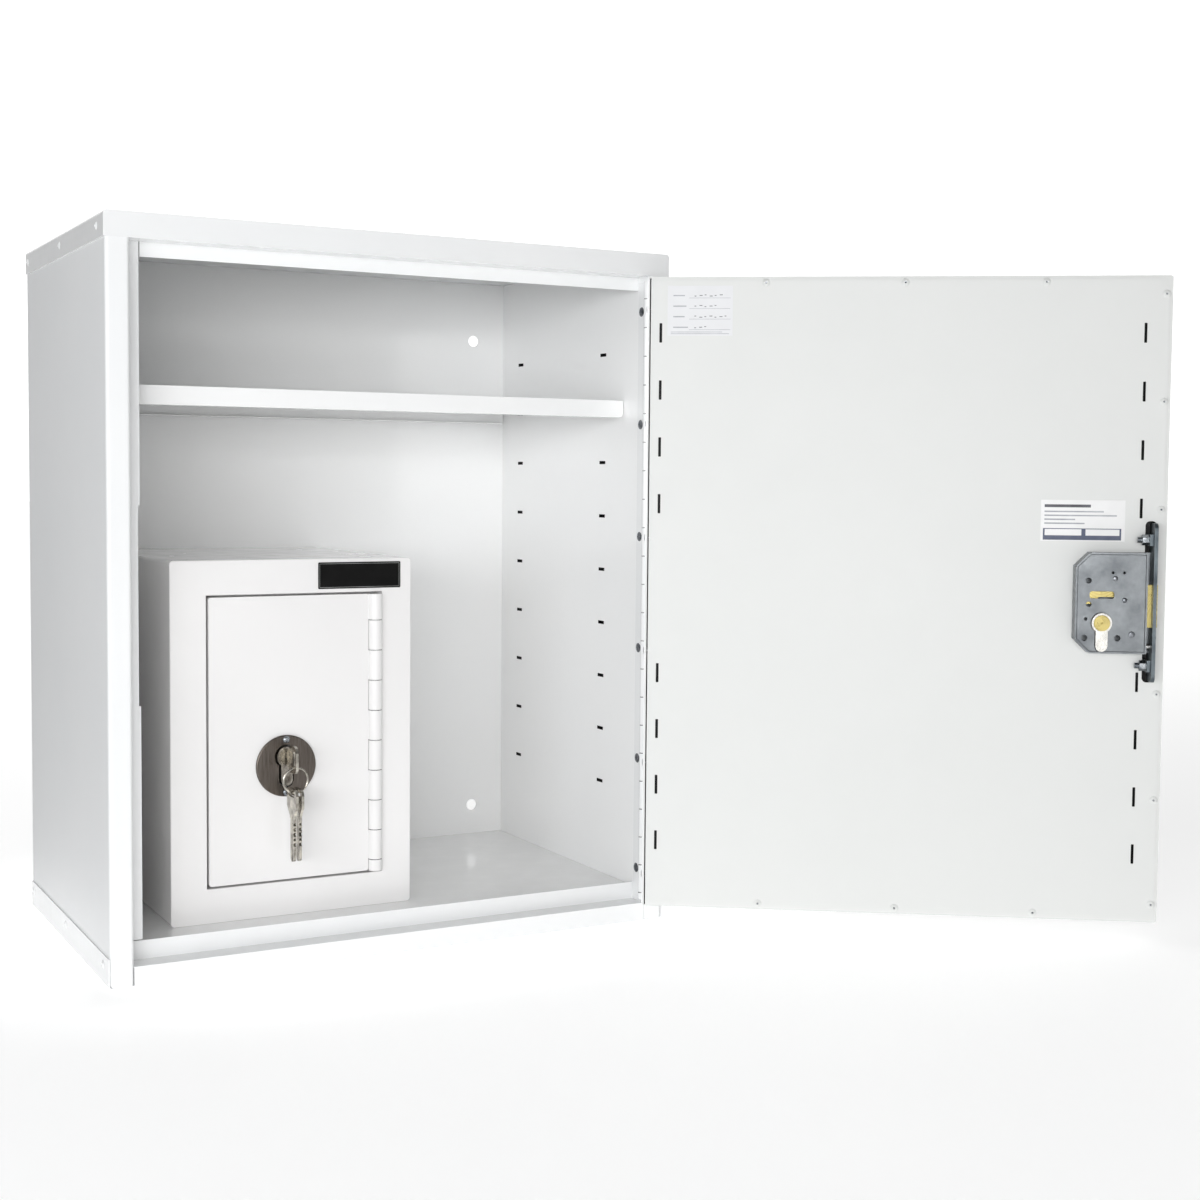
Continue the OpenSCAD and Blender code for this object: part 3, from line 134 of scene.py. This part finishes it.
class Material(Nodes):
    """A node material whose textures follow the object."""

    def __init__(self, name, **values):
        self.mat = bpy.data.materials.new(name)
        self.mat.use_nodes = True
        super().__init__(self.mat.node_tree)
        self.shader = self.tree.nodes["Principled BSDF"]
        self.coords = self.add("ShaderNodeTexCoord").outputs["Object"]
        self.bumps = {}
        self.shade(**values)

    def shade(self, **values):
        """Fills sockets of the shader, with _ for each space of their names."""
        self.fill(self.shader, {key.replace("_", " "): value for key, value in values.items()})

    def placed(self, matrix=None, scale=None):
        """Object coordinates seen from a frame, then stretched."""
        out = self.coords
        if matrix is not None:
            inverse = matrix.inverted()
            out = self.add("ShaderNodeMapping", {
                "Vector": out, "Location": inverse.to_translation(),
                "Rotation": inverse.to_euler(),
            }).outputs["Vector"]
        if scale is not None:
            out = self.add("ShaderNodeMapping", {"Vector": out, "Scale": scale}).outputs["Vector"]
        return out

    def noise(self, scale, detail, rough=0.5, vector=None):
        """Layered noise; the scale is in cells for each unit of the vector, here a metre."""
        return self.add("ShaderNodeTexNoise", {
            "Scale": scale, "Detail": detail, "Roughness": rough,
            "Vector": vector or self.coords,
        }).outputs["Fac"]

    def rings(self, scale, matrix, distortion):
        """Turning marks round the Y axis of a frame."""
        sockets = {"Scale": scale, "Distortion": distortion,
                   "Vector": self.placed(matrix, (1, 0, 1))}
        return self.add("ShaderNodeTexWave", sockets, wave_type="RINGS",
                        rings_direction="SPHERICAL").outputs["Fac"]

    def within(self, matrix, low, high):
        """1 inside a box given by two corners in a frame, else 0."""
        low, high = Vector(low), Vector(high)
        from_middle = self.vector_maths("SUBTRACT", self.placed(matrix), (low + high) / 2)
        from_middle = self.vector_maths("ABSOLUTE", from_middle)
        past = self.axes(self.vector_maths("SUBTRACT", from_middle, (high - low) / 2))
        largest = self.maths("MAXIMUM", self.maths("MAXIMUM", past["X"], past["Y"]), past["Z"])
        return self.maths("LESS_THAN", largest, 0.0)

    def bump(self, factor, depth):
        """Adds height of the given depth in metres to the bumps before it."""
        made = self.add("ShaderNodeBump", {
            "Height": factor, "Strength": 1.0, "Distance": depth, **self.bumps,
        })
        self.bumps = {"Normal": made.outputs["Normal"]}
        self.shade(**self.bumps)


# ---------------------------------------------------------------- kinds of finish

# Scale and detail of the noises that several finishes share
CLOUDS = (9, 3)
SMUDGES = (40, 4)
ORANGE_PEEL = (420, 2)

# Each pair of colours is the darkest and the lightest: of painted shade for the first two, of a
# finish for the others
CAVITY_SHADE = ((0.004, 0.004, 0.005), (0.010, 0.010, 0.011))
KNUCKLE_SHADE = ((0.02, 0.02, 0.022), (0.05, 0.05, 0.052))
BRASS = ((0.25, 0.20, 0.065), (0.50, 0.42, 0.18))

COAT_GLOSS = (0.16, 0.24)
COAT_PEEL = 0.03 * MM
METAL_GRAIN = (300, 300, 300)
BRUSHED_GRAIN = (1400, 1400, 60)
ROUGH_EITHER_WAY = 0.05


def stoved(m, colour, gloss=COAT_GLOSS, coat=0.35, specular=0.5, peel=COAT_PEEL):
    """Finishes a material as powder coat of the given colour."""
    m.shade(Base_Color=colour, Roughness=m.spread(m.noise(*SMUDGES), *gloss),
            Coat_Weight=coat, Coat_Roughness=0.06, IOR=1.5, Specular_IOR_Level=specular)
    m.bump(m.noise(*ORANGE_PEEL), peel)


def powder_coat(name, colours, shaded_boxes=(), peel=COAT_PEEL, **finish):
    """Stoved powder coat with faint orange peel; inside each given box the colour is near black
    painted shade.
    """
    m = Material(name)
    colour = m.tint(m.noise(*CLOUDS), *colours)
    for box in shaded_boxes:
        # painted shade: near black inside the box
        painted_shade = m.tint(m.noise(30, 2), *CAVITY_SHADE)
        colour = m.mixed(m.within(*box), colour, painted_shade)
    stoved(m, colour, peel=peel, **finish)
    m.bump(m.noise(60, 1), peel * 2.5)
    return m.mat


def hinge_coat(name, colours, joint, radius, first, pitch, width):
    """Powder coat, with a dark line of painted shade at each knuckle joint of a hinge's barrel.

    The first line is at the height first, and the next ones follow at the pitch.
    """
    m = Material(name)
    x, y, _ = joints[joint]["pos_m"]
    barrel = m.within(CABINET_FRAME, (x - radius, y - radius, 0),
                      (x + radius, y + radius, CABINET_H))
    steps = m.maths("SUBTRACT", m.axes(m.coords)["Z"], first - width / 2)
    steps = m.maths("FRACT", m.maths("DIVIDE", steps, pitch))
    line = m.maths("MULTIPLY", m.maths("LESS_THAN", steps, width / pitch), barrel)
    # painted shade in the gaps between the knuckles
    gap_shade = m.tint(m.noise(200, 2), *KNUCKLE_SHADE)
    stoved(m, m.mixed(line, m.tint(m.noise(*CLOUDS), *colours), gap_shade))
    return m.mat


def plated(name, low, high, gloss=(0.22, 0.36), grain=METAL_GRAIN):
    """Bare or plated metal with a fine grain."""
    m = Material(name, Metallic=1.0)
    fine = m.noise(3, 3, 0.6, m.placed(None, grain))
    m.shade(Base_Color=m.tint(m.noise(160, 4), low, high), Roughness=m.spread(fine, *gloss))
    m.bump(fine, 0.01 * MM)
    return m.mat


def brushed(name, matrix, low, high):
    """Plate brushed across in one direction, seen from its own frame."""
    m = Material(name, Metallic=1.0)
    streaks = m.noise(1, 5, 0.65, m.placed(matrix, BRUSHED_GRAIN))
    m.shade(Base_Color=m.tint(streaks, low, high, start=0.25, end=0.75),
            Roughness=m.spread(streaks, 0.24, 0.42))
    m.bump(streaks, 0.012 * MM)
    return m.mat


def lock_paint(name, low, high):
    """Smooth rolled steel of a lock case under a thin satin lacquer."""
    m = Material(name, Metallic=0.85)
    m.shade(Base_Color=m.tint(m.noise(45, 5, 0.6), low, high),
            Roughness=m.spread(m.noise(260, 3), 0.3, 0.46))
    m.bump(m.noise(900, 2), 0.01 * MM)
    return m.mat


def turned_brass(name, matrix):
    """Brass with turning marks round a lock's axis."""
    m = Material(name, Metallic=1.0)
    marks = m.rings(260, matrix, 0.4)
    m.shade(Base_Color=m.tint(marks, *BRASS, start=0.1, end=0.9),
            Roughness=m.spread(m.noise(300, 3), 0.26, 0.34))
    m.bump(marks, 0.02 * MM)
    return m.mat


def film(name, low, high, rough, coat=0.0, specular=0.5):
    """Printed self-adhesive film with a faint calender grain."""
    m = Material(name, Coat_Weight=coat, Coat_Roughness=0.08, Specular_IOR_Level=specular)
    m.shade(Base_Color=m.tint(m.noise(70, 4), low, high),
            Roughness=m.spread(m.noise(500, 2), rough - ROUGH_EITHER_WAY, rough + ROUGH_EITHER_WAY))
    m.bump(m.noise(240, 2), 0.02 * MM)
    return m.mat


# ---------------------------------------------------------------- materials

def box_mm(matrix, low, high):
    """A box in a frame, from two corners in millimetres."""
    return matrix, Vector(low) * MM, Vector(high) * MM


# Boxes painted near black as painted shade: the hollows of both sides and of the door, and the cut
# walls of the door's slots
SIDE_CAVITIES = [box_mm(CABINET_FRAME, (x0, -129.9, 1.3), (x1, 148.7, 598.7))
                 for x0, x1 in ((-247.7, -230.1), (230.1, 247.7))]
DOOR_CAVITY = box_mm(DOOR_FRAME, (-450.15, 1.1, 19.1), (-4.2, 15.65, 575.9))
PANEL_CUTS = box_mm(DOOR_FRAME, (-444.5, 15.6, 32), (-8, 17.9, 563))

BODY_COLOURS = ((0.868, 0.877, 0.882), (0.887, 0.893, 0.895))
# a little darker than the body's white: painted shade on the side panels
SIDE_SHADED_COLOURS = ((0.858, 0.867, 0.872), (0.877, 0.883, 0.885))
# lighter than the body's white: painted light inside the cabinet
INSIDE_LIT_COLOURS = ((0.93, 0.935, 0.935), (0.94, 0.943, 0.94))
# much darker than the body's white: painted shade on the door and its panel, which face the lamps
DOOR_SHADED_COLOURS = ((0.716, 0.725, 0.712), (0.726, 0.734, 0.721))
INNER_COLOURS = ((0.845, 0.836, 0.832), (0.865, 0.856, 0.852))
GLOSSY = (0.14, 0.2)
DULL_DOOR = {"gloss": (0.44, 0.48), "coat": 0.0}
FINE_GRAIN = (700, 700, 700)
KEY_GRAIN = (90, 1500, 90)

WHITE = powder_coat("white_powder_coat", BODY_COLOURS, SIDE_CAVITIES, gloss=GLOSSY)
WHITE_SIDE = powder_coat("side_panel_coat", SIDE_SHADED_COLOURS, SIDE_CAVITIES, gloss=(0.40, 0.46),
                         coat=0.0, specular=0.2)
WHITE_INSIDE = powder_coat("cabinet_inside_coat", INSIDE_LIT_COLOURS, SIDE_CAVITIES)
WHITE_DOOR = powder_coat("door_coat", DOOR_SHADED_COLOURS, [DOOR_CAVITY], **DULL_DOOR)
WHITE_PANEL = powder_coat("door_panel_coat", DOOR_SHADED_COLOURS, [PANEL_CUTS], **DULL_DOOR)
WHITE_INNER = powder_coat("inner_cabinet_coat", INNER_COLOURS, peel=0.02 * MM, gloss=GLOSSY)
MAIN_HINGE = hinge_coat("main_hinge_coat", BODY_COLOURS, "main_door_hinge", radius=3.3 * MM,
                        first=26 * MM, pitch=25.4 * MM, width=0.8 * MM)
INNER_HINGE = hinge_coat("inner_hinge_coat", INNER_COLOURS, "inner_door_hinge", radius=6.2 * MM,
                         first=68.8 * MM, pitch=26 * MM, width=0.6 * MM)
ZINC = plated("bright_zinc", (0.42, 0.42, 0.41), (0.72, 0.72, 0.71))
DARK_ZINC = plated("dulled_zinc", (0.06, 0.07, 0.08), (0.30, 0.31, 0.33), gloss=(0.2, 0.4),
                   grain=FINE_GRAIN)
BLUED_ZINC = plated("blued_zinc", (0.10, 0.115, 0.13), (0.44, 0.46, 0.48), gloss=(0.16, 0.34),
                    grain=FINE_GRAIN)
NICKEL = plated("satin_nickel", (0.42, 0.41, 0.385), (0.60, 0.59, 0.56), gloss=(0.22, 0.32))
# dark brownish: painted reflection of dark surroundings in the nickel's colour
INNER_NICKEL = plated("worn_nickel", (0.16, 0.14, 0.12), (0.48, 0.45, 0.40), gloss=(0.16, 0.3))
INNER_PLUG = plated("inner_plug_nickel", (0.14, 0.125, 0.10), (0.44, 0.40, 0.33),
                    gloss=(0.16, 0.3))
KEY_METAL = plated("nickel_key", (0.21, 0.195, 0.17), (0.70, 0.665, 0.59), gloss=(0.12, 0.28),
                   grain=KEY_GRAIN)
LOCK_GREY = lock_paint("lock_steel", (0.13, 0.14, 0.15), (0.235, 0.25, 0.26))
FOREND_GREY = lock_paint("forend_steel", (0.045, 0.055, 0.065), (0.15, 0.175, 0.19))
MAIN_BRASS = turned_brass("main_lock_brass", MAIN_LOCK)
INNER_BRASS = turned_brass("inner_lock_brass", INNER_LOCK)
MAIN_ESCUTCHEON = brushed("main_escutcheon_steel", MAIN_LOCK, (0.34, 0.33, 0.31),
                          (0.58, 0.57, 0.55))
# dark brownish: painted reflection of dark surroundings in the steel's colour
INNER_ESCUTCHEON = brushed("inner_escutcheon_steel", INNER_LOCK, (0.085, 0.072, 0.062),
                           (0.20, 0.175, 0.155))
RECORD_FILM = film("record_label_film", (0.74, 0.745, 0.76), (0.76, 0.765, 0.78), rough=0.45)
LABEL = film("label_film", (0.80, 0.80, 0.80), (0.84, 0.84, 0.84), rough=0.38, coat=0.1)
PLAQUE = film("plaque_film", (0.003, 0.003, 0.003), (0.006, 0.006, 0.006), rough=0.55,
              specular=0.12)
INK = film("label_ink", (0.05, 0.05, 0.06), (0.14, 0.14, 0.16), rough=0.5)
FAINT_INK = film("label_faint_ink", (0.30, 0.31, 0.34), (0.46, 0.47, 0.50), rough=0.5)
BAND_INK = film("label_band_ink", (0.05, 0.065, 0.12), (0.09, 0.105, 0.17), rough=0.45,
                coat=0.1)
BORDER_INK = film("plaque_border_ink", (0.20, 0.21, 0.20), (0.32, 0.33, 0.32), rough=0.4)

LOOKS = (
    (WHITE_SIDE, "side_panel_left side_panel_right"),
    (WHITE_INSIDE, "side_liner_left side_liner_right back_panel floor_panel shelf"),
    (WHITE_DOOR, "door_skin door_panel_rivets"),
    (WHITE_PANEL, "door_panel"),
    (WHITE_INNER, "inner_hinge_pin"),
    (MAIN_HINGE, "hinge_leaf_fixed hinge_leaf_door"),
    (INNER_HINGE, "inner_hinge_leaf_fixed inner_hinge_leaf_door"),
    (ZINC, "shelf_clips hinge_pin inner_fixing_bolts"),
    (DARK_ZINC, "hinge_screws_fixed hinge_screws_door door_lock_studs"),
    (BLUED_ZINC, "inner_escutcheon_screws door_forend_screws door_forend_nuts"),
    (NICKEL, "door_cylinder"),
    (INNER_NICKEL, "inner_cylinder"),
    (INNER_PLUG, "inner_lock_plug"),
    (MAIN_BRASS, "door_lock_plug door_lock_bolt"),
    (INNER_BRASS, "inner_lock_bolt"),
    (FOREND_GREY, "door_lock_faceplate door_lock_forend inner_lock_forend door_lock_brackets"),
    (MAIN_ESCUTCHEON, "door_escutcheon"),
    (INNER_ESCUTCHEON, "inner_escutcheon"),
    (RECORD_FILM, "door_record_label"),
    (LABEL, "door_info_label"),
    (PLAQUE, "inner_plaque"),
)
LOOK_OF_NODE = {name: material for material, names in LOOKS for name in names.split()}
LOOKS_BY_WORD = {             # for the other nodes, by the first word that is in the name
    "key": KEY_METAL, "screw": ZINC, "studs": DARK_ZINC, "lock_case": LOCK_GREY,
    "lock_cover": LOCK_GREY, "inner_": WHITE_INNER,
}


def by_word(table, name, otherwise):
    """What a table holds for its first word that is in a name."""
    return next((value for word, value in table.items() if word in name), otherwise)


# ---------------------------------------------------------------- softened edges

WELD_GAP = 0.002 * MM
FLAT_WITHIN = math.radians(0.5)
SHARP_FROM = math.radians(40)

EDGE = 0.35 * MM
EDGES_BY_WORD = {
    "inner_front_frame": 0.7 * MM, "inner_door_skin": 0.7 * MM, "screw": 0.12 * MM,
    "rivets": 0.08 * MM, "label": 0.05 * MM, "plaque": 0.1 * MM, "key": 0.2 * MM,
    "cylinder": 0.3 * MM, "nuts": 0.25 * MM,
}


def soften(obj, width):
    """Rounds the sheared or folded edges a little, so that they catch the light."""
    weld = obj.modifiers.new("weld", "WELD")
    weld.merge_threshold = WELD_GAP
    faces = obj.modifiers.new("faces", "DECIMATE")
    faces.decimate_type = "DISSOLVE"
    faces.angle_limit = FLAT_WITHIN
    bevel = obj.modifiers.new("edges", "BEVEL")
    bevel.width = width
    bevel.segments = 2
    bevel.limit_method = "ANGLE"
    bevel.angle_limit = SHARP_FROM
    normals = obj.modifiers.new("normals", "WEIGHTED_NORMAL")
    normals.mode = "FACE_AREA"
    normals.weight = 100
    normals.keep_sharp = False


for name, obj in nodes.items():
    look = LOOK_OF_NODE.get(name) or by_word(LOOKS_BY_WORD, name, WHITE)
    obj.data.materials.clear()
    obj.data.materials.append(look)
    soften(obj, by_word(EDGES_BY_WORD, name, EDGE))

# ---------------------------------------------------------------- small printed detail

PRINT_LIFT = 0.03 * MM
LABEL_T = 0.25 * MM
LABEL_FACE = DOOR_T + LABEL_T
BAR_FACES = ((0, 1, 3, 2), (4, 6, 7, 5), (0, 4, 5, 1), (2, 3, 7, 6), (0, 2, 6, 4), (1, 5, 7, 3))


def linked_object(name, verts, faces, material):
    mesh = bpy.data.meshes.new(name)
    mesh.from_pydata(verts, [], faces)
    mesh.materials.append(material)
    obj = bpy.data.objects.new(name, mesh)
    bpy.context.scene.collection.objects.link(obj)
    return obj


def mesh_piece(name, verts, faces, material, matrix, body, slot):
    obj = linked_object(name, [matrix @ Vector(v) for v in verts], faces, material)
    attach(obj, body)


class Strips:
    """Thin printed bars that stand proud of a face of constant Y, towards +Y or -Y.

    They are laid out in millimetres from a corner (x, z) of the face.
    """

    def __init__(self, face, corner, lift=PRINT_LIFT):
        self.depths = sorted((face, face + lift))
        self.corner = corner
        self.verts, self.faces = [], []

    def bar(self, x0, x1, z0, z1):
        corner_x, corner_z = self.corner
        start = len(self.verts)
        self.verts += [(corner_x + x * MM, y, corner_z + z * MM)
                       for y in self.depths for z in (z0, z1) for x in (x0, x1)]
        self.faces += [tuple(start + i for i in face) for face in BAR_FACES]

    def outline(self, x0, x1, z0, z1, width):
        self.bar(x0, x1, z0, z0 + width)
        self.bar(x0, x1, z1 - width, z1)
        self.bar(x0, x0 + width, z0 + width, z1 - width)
        self.bar(x1 - width, x1, z0 + width, z1 - width)

    def make(self, name, material, matrix, body, slot):
        mesh_piece(name, self.verts, self.faces, material, matrix, body, slot)


# Record label, from its top right corner: four ruled rows with a faint heading bar and a few
# plain strokes each, and fine lines below
RECORD_CORNER = (-19.8 * MM, DOOR_TOP - 8 * MM)
RECORD_LEFT, RECORD_FOOT = -57, -43.5
marks = Strips(LABEL_FACE, RECORD_CORNER)
rules = Strips(LABEL_FACE, RECORD_CORNER)
for row, strokes in enumerate((6, 5, 7, 3)):
    z = -1.6 - 9.2 * (row + 1)
    rules.bar(RECORD_LEFT + 2, -19, z, z + 0.3)
    rules.bar(-15 - 1.5 * (row % 2 + row // 3), -5, z + 1.8, z + 2.7)
    for stroke in range(strokes):
        x = -23.5 - 4.4 * stroke
        rise = (stroke + row) % 3 * 0.5
        marks.bar(x - 1.6 - stroke % 2, x, z + 1.5 + rise, z + 2.1 + rise)
for line in range(2):
    z = RECORD_FOOT + 1.5 + 1.5 * line
    rules.bar(RECORD_LEFT + 3 + 6 * line, -3, z, z + 0.45)
rules.make("record_label_rules", FAINT_INK, DOOR_FRAME, "main_door", "label_film")
marks.make("record_label_marks", INK, DOOR_FRAME, "main_door", "label_film")

# Plain door label, from its bottom left corner: a heading bar, short lines that end together,
# and a plain band with two empty boxes
INFO_CORNER = (-LOCK_FROM_HINGE - 20.5 * MM, LOCK_Z + 69.3 * MM)
LINES_END = 68
heading = Strips(LABEL_FACE, INFO_CORNER)
heading.bar(29, LINES_END, 29.1, 31.6)
heading.make("info_label_heading", INK, DOOR_FRAME, "main_door", "label_film")
faint = Strips(LABEL_FACE, INFO_CORNER)
for row, length in enumerate((50, 61, 26, 34)):
    z = 24.9 - 3.4 * row
    faint.bar(LINES_END - length, LINES_END, z, z + 1.2)
faint.make("info_label_lines", FAINT_INK, DOOR_FRAME, "main_door", "label_film")
band = Strips(LABEL_FACE, INFO_CORNER)
band.bar(3, 69, 1, 11)
band.make("info_label_band", BAND_INK, DOOR_FRAME, "main_door", "label_film")
fields = Strips(LABEL_FACE + PRINT_LIFT, INFO_CORNER)
fields.bar(4.5, 33, 4.9, 10.3)
fields.bar(36.5, 67.5, 4.9, 10.3)
fields.make("info_label_fields", LABEL, DOOR_FRAME, "main_door", "label_film")

# Plaque: a thin pale border just inside its edge
BORDER_INSET, BORDER_W = 1.1, 0.35
plaque_lo, plaque_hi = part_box("inner_plaque")
plaque_size = (plaque_hi - plaque_lo) / MM
border = Strips(plaque_lo.y, (plaque_lo.x, plaque_lo.z), -PRINT_LIFT)
border.outline(BORDER_INSET, plaque_size.x - BORDER_INSET,
               BORDER_INSET, plaque_size.z - BORDER_INSET, BORDER_W)
border.make("plaque_border", BORDER_INK, CABINET_FRAME, "cabinet", "plaque_film")

# ---------------------------------------------------------------- broken mandrels in the rivets

RIVET_REACH = 8 * MM          # points of one rivet lie closer together than this
# Radius and height in mm of each ring, from the top of the rivet's head
MANDREL = ((0.8, -0.5), (0.8, -0.12), (0.68, -0.02), (0.38, -0.04), (0.16, -0.2))
MANDREL_SIDES = 20


def middle(values):
    return (min(values) + max(values)) / 2


def heads_of(name, matrix):
    """Middle of each rivet of a node, with its outermost height along the frame's +Y."""
    inverse = matrix.inverted()
    rivets = []
    for vertex in nodes[name].data.vertices:
        p = inverse @ vertex.co
        near = next((points for points in rivets
                     if math.hypot(points[0].x - p.x, points[0].z - p.z) < RIVET_REACH), None)
        if near is None:
            rivets.append([p])
        else:
            near.append(p)
    return [(middle([p.x for p in points]), max(p.y for p in points),
             middle([p.z for p in points])) for points in rivets]


def turned(profile, centres, sides):
    """Vertices and faces of (radius, height) pairs in mm, turned round +Y at each centre."""
    verts, faces = [], []
    for cx, cy, cz in centres:
        start = len(verts)
        for radius, height in profile:
            for side in range(sides):
                a = 2 * math.pi * side / sides
                verts.append((cx + radius * MM * math.cos(a), cy + height * MM,
                              cz + radius * MM * math.sin(a)))
        last = len(verts) - sides
        for ring in range(start, last, sides):
            for side in range(sides):
                a, b = ring + side, ring + (side + 1) % sides
                faces.append((a, b, b + sides, a + sides))
        faces.append(tuple(range(start + sides - 1, start - 1, -1)))
        faces.append(tuple(range(last, last + sides)))
    return verts, faces


mesh_piece("door_rivet_mandrels",
           *turned(MANDREL, heads_of("door_panel_rivets", DOOR_FRAME), MANDREL_SIDES),
           BLUED_ZINC, DOOR_FRAME, "main_door", "zinc_plated_steel")

# ---------------------------------------------------------------- floor

# White floor: it glows a little where the cabinet stands and behind it, and fades out round that
FLOOR_REACH = 25
GLOW_EDGES = (                # two points on each edge, and the width of the fade outside it
    ((-0.42, -0.605), (0.13, -0.90), 0.5),
    ((1.46, 10.4), (-0.42, -0.605), 0.03),
    ((0.13, -0.90), (8.4, 6.5), 1.0),
)
GLOW_OUTSIDE, GLOW_NEAR, GLOW_FAR = 0.12, 0.50, 0.74
GLOW_NEAR_Y, GLOW_FAR_Y = -0.1, 1.6
FLOOR_PALE = ((0.78,) * 3, (0.80,) * 3)
FLOOR_WHITE = ((0.85,) * 3, (0.87,) * 3)
FLOOR_CLOUDS = (3, 4)

floor_mat = Material("white_floor", Roughness=0.65, Emission_Color=(1, 1, 1, 1))
inside = None
for (x0, y0), (x1, y1), fade in GLOW_EDGES:
    inward = Vector((y0 - y1, x1 - x0, 0)).normalized()
    distance = floor_mat.maths("SUBTRACT", floor_mat.along(floor_mat.coords, inward),
                               inward.dot(Vector((x0, y0, 0))))
    distance = floor_mat.maths("DIVIDE", distance, fade)
    inside = distance if inside is None else floor_mat.maths("MINIMUM", inside, distance)
share = floor_mat.spread(inside, 0.0, 1.0, -1.0, 0.0)
glow = floor_mat.spread(floor_mat.axes(floor_mat.coords)["Y"], GLOW_NEAR, GLOW_FAR,
                        GLOW_NEAR_Y, GLOW_FAR_Y)
extra = floor_mat.maths("MULTIPLY", share, floor_mat.maths("SUBTRACT", glow, GLOW_OUTSIDE))
pale, white = (floor_mat.tint(floor_mat.noise(*FLOOR_CLOUDS), *colours)
               for colours in (FLOOR_PALE, FLOOR_WHITE))
floor_mat.shade(Base_Color=floor_mat.mixed(share, pale, white),
                Emission_Strength=floor_mat.maths("ADD", extra, GLOW_OUTSIDE))
floor = linked_object(
    "floor",
    [(x * FLOOR_REACH, y * FLOOR_REACH, 0) for x, y in ((-1, -1), (1, -1), (1, 1), (-1, 1))],
    [(0, 1, 2, 3)], floor_mat.mat)

# ---------------------------------------------------------------- lights

NEUTRAL, COOL = (1, 1, 1), (0.94, 0.97, 1.0)
LIGHTS = (                    # name, place, aim, size, watts, colour, spread in degrees
    ("key", (-1.25, -2.25, 0.56), (0, 0, 0.42), (1.6, 0.55), 29, NEUTRAL, 180),
    ("low", (-0.3, -1.9, 0.12), (0.05, 0, 0.5), (1.6, 0.2), 1.2, NEUTRAL, 180),
    ("top", (0, 0.03, 1.4), (0, 0.03, 0), (0.5, 0.28), 0.8, NEUTRAL, 20),
    ("left", (-2.1, -1.5, 0.45), (0.2, 0.05, 0.35), (0.9, 0.7), 11, COOL, 180),
)
for name, place, aim, size, watts, colour, spread in LIGHTS:
    light = bpy.data.lights.new(name, "AREA")
    light.shape = "RECTANGLE"
    light.size, light.size_y = size
    light.energy = watts
    light.color = colour
    light.spread = math.radians(spread)
    obj = bpy.data.objects.new(name, light)
    obj.location = place
    obj.rotation_euler = (Vector(aim) - Vector(place)).to_track_quat("-Z", "Y").to_euler()
    obj.visible_camera = False
    bpy.context.scene.collection.objects.link(obj)

# Studio surround: white behind the cabinet, a pale wall to the right, and dim elsewhere
DIM = 0.21
LOBES = (                     # direction, its cosine where the light starts and is full, strength
    ((0.48, 0.877, 0), 0.72, 0.90, 1.1),
    ((0.9, -0.3, 0.3), 0.1, 0.9, 0.12),
)
world = bpy.data.worlds.new("studio")
world.use_nodes = True
surround = Nodes(world.node_tree)
direction = surround.add("ShaderNodeTexCoord").outputs["Generated"]
level = DIM
for towards, start, full, strength in LOBES:
    lobe = surround.spread(surround.along(direction, towards), 0.0, strength, start, full)
    level = surround.maths("ADD", lobe, level)
surround.fill(world.node_tree.nodes["Background"], {"Strength": level, "Color": (1, 1, 1, 1)})
scene = bpy.context.scene
scene.world = world
scene.view_settings.view_transform = "Standard"

# ---------------------------------------------------------------- camera at the photograph's place

IMAGE = 1200                  # pixels each way
FOCAL = 1737.1                # pixels
CENTRE_X, CENTRE_Y = 593.3, 578.7
SENSOR = 36.0
CAMERA_PLACE = (-560.9 * MM, -1492.1 * MM, 398.9 * MM)
HEADING, TILT, ROLL = (math.radians(a) for a in (-28.75, 3.27, 0.49))

camera_data = bpy.data.cameras.new("camera")
camera_data.sensor_width = SENSOR
camera_data.lens = FOCAL * SENSOR / IMAGE
camera_data.shift_x = (IMAGE / 2 - CENTRE_X) / IMAGE
camera_data.shift_y = (CENTRE_Y - IMAGE / 2) / IMAGE
camera_data.clip_start = 0.01
camera = bpy.data.objects.new("camera", camera_data)
camera.matrix_world = (
    Matrix.Translation(CAMERA_PLACE)
    @ Matrix.Rotation(HEADING, 4, "Z")
    @ Matrix.Rotation(math.pi / 2 - TILT, 4, "X")
    @ Matrix.Rotation(ROLL, 4, "Z")
)
scene.collection.objects.link(camera)
scene.camera = camera
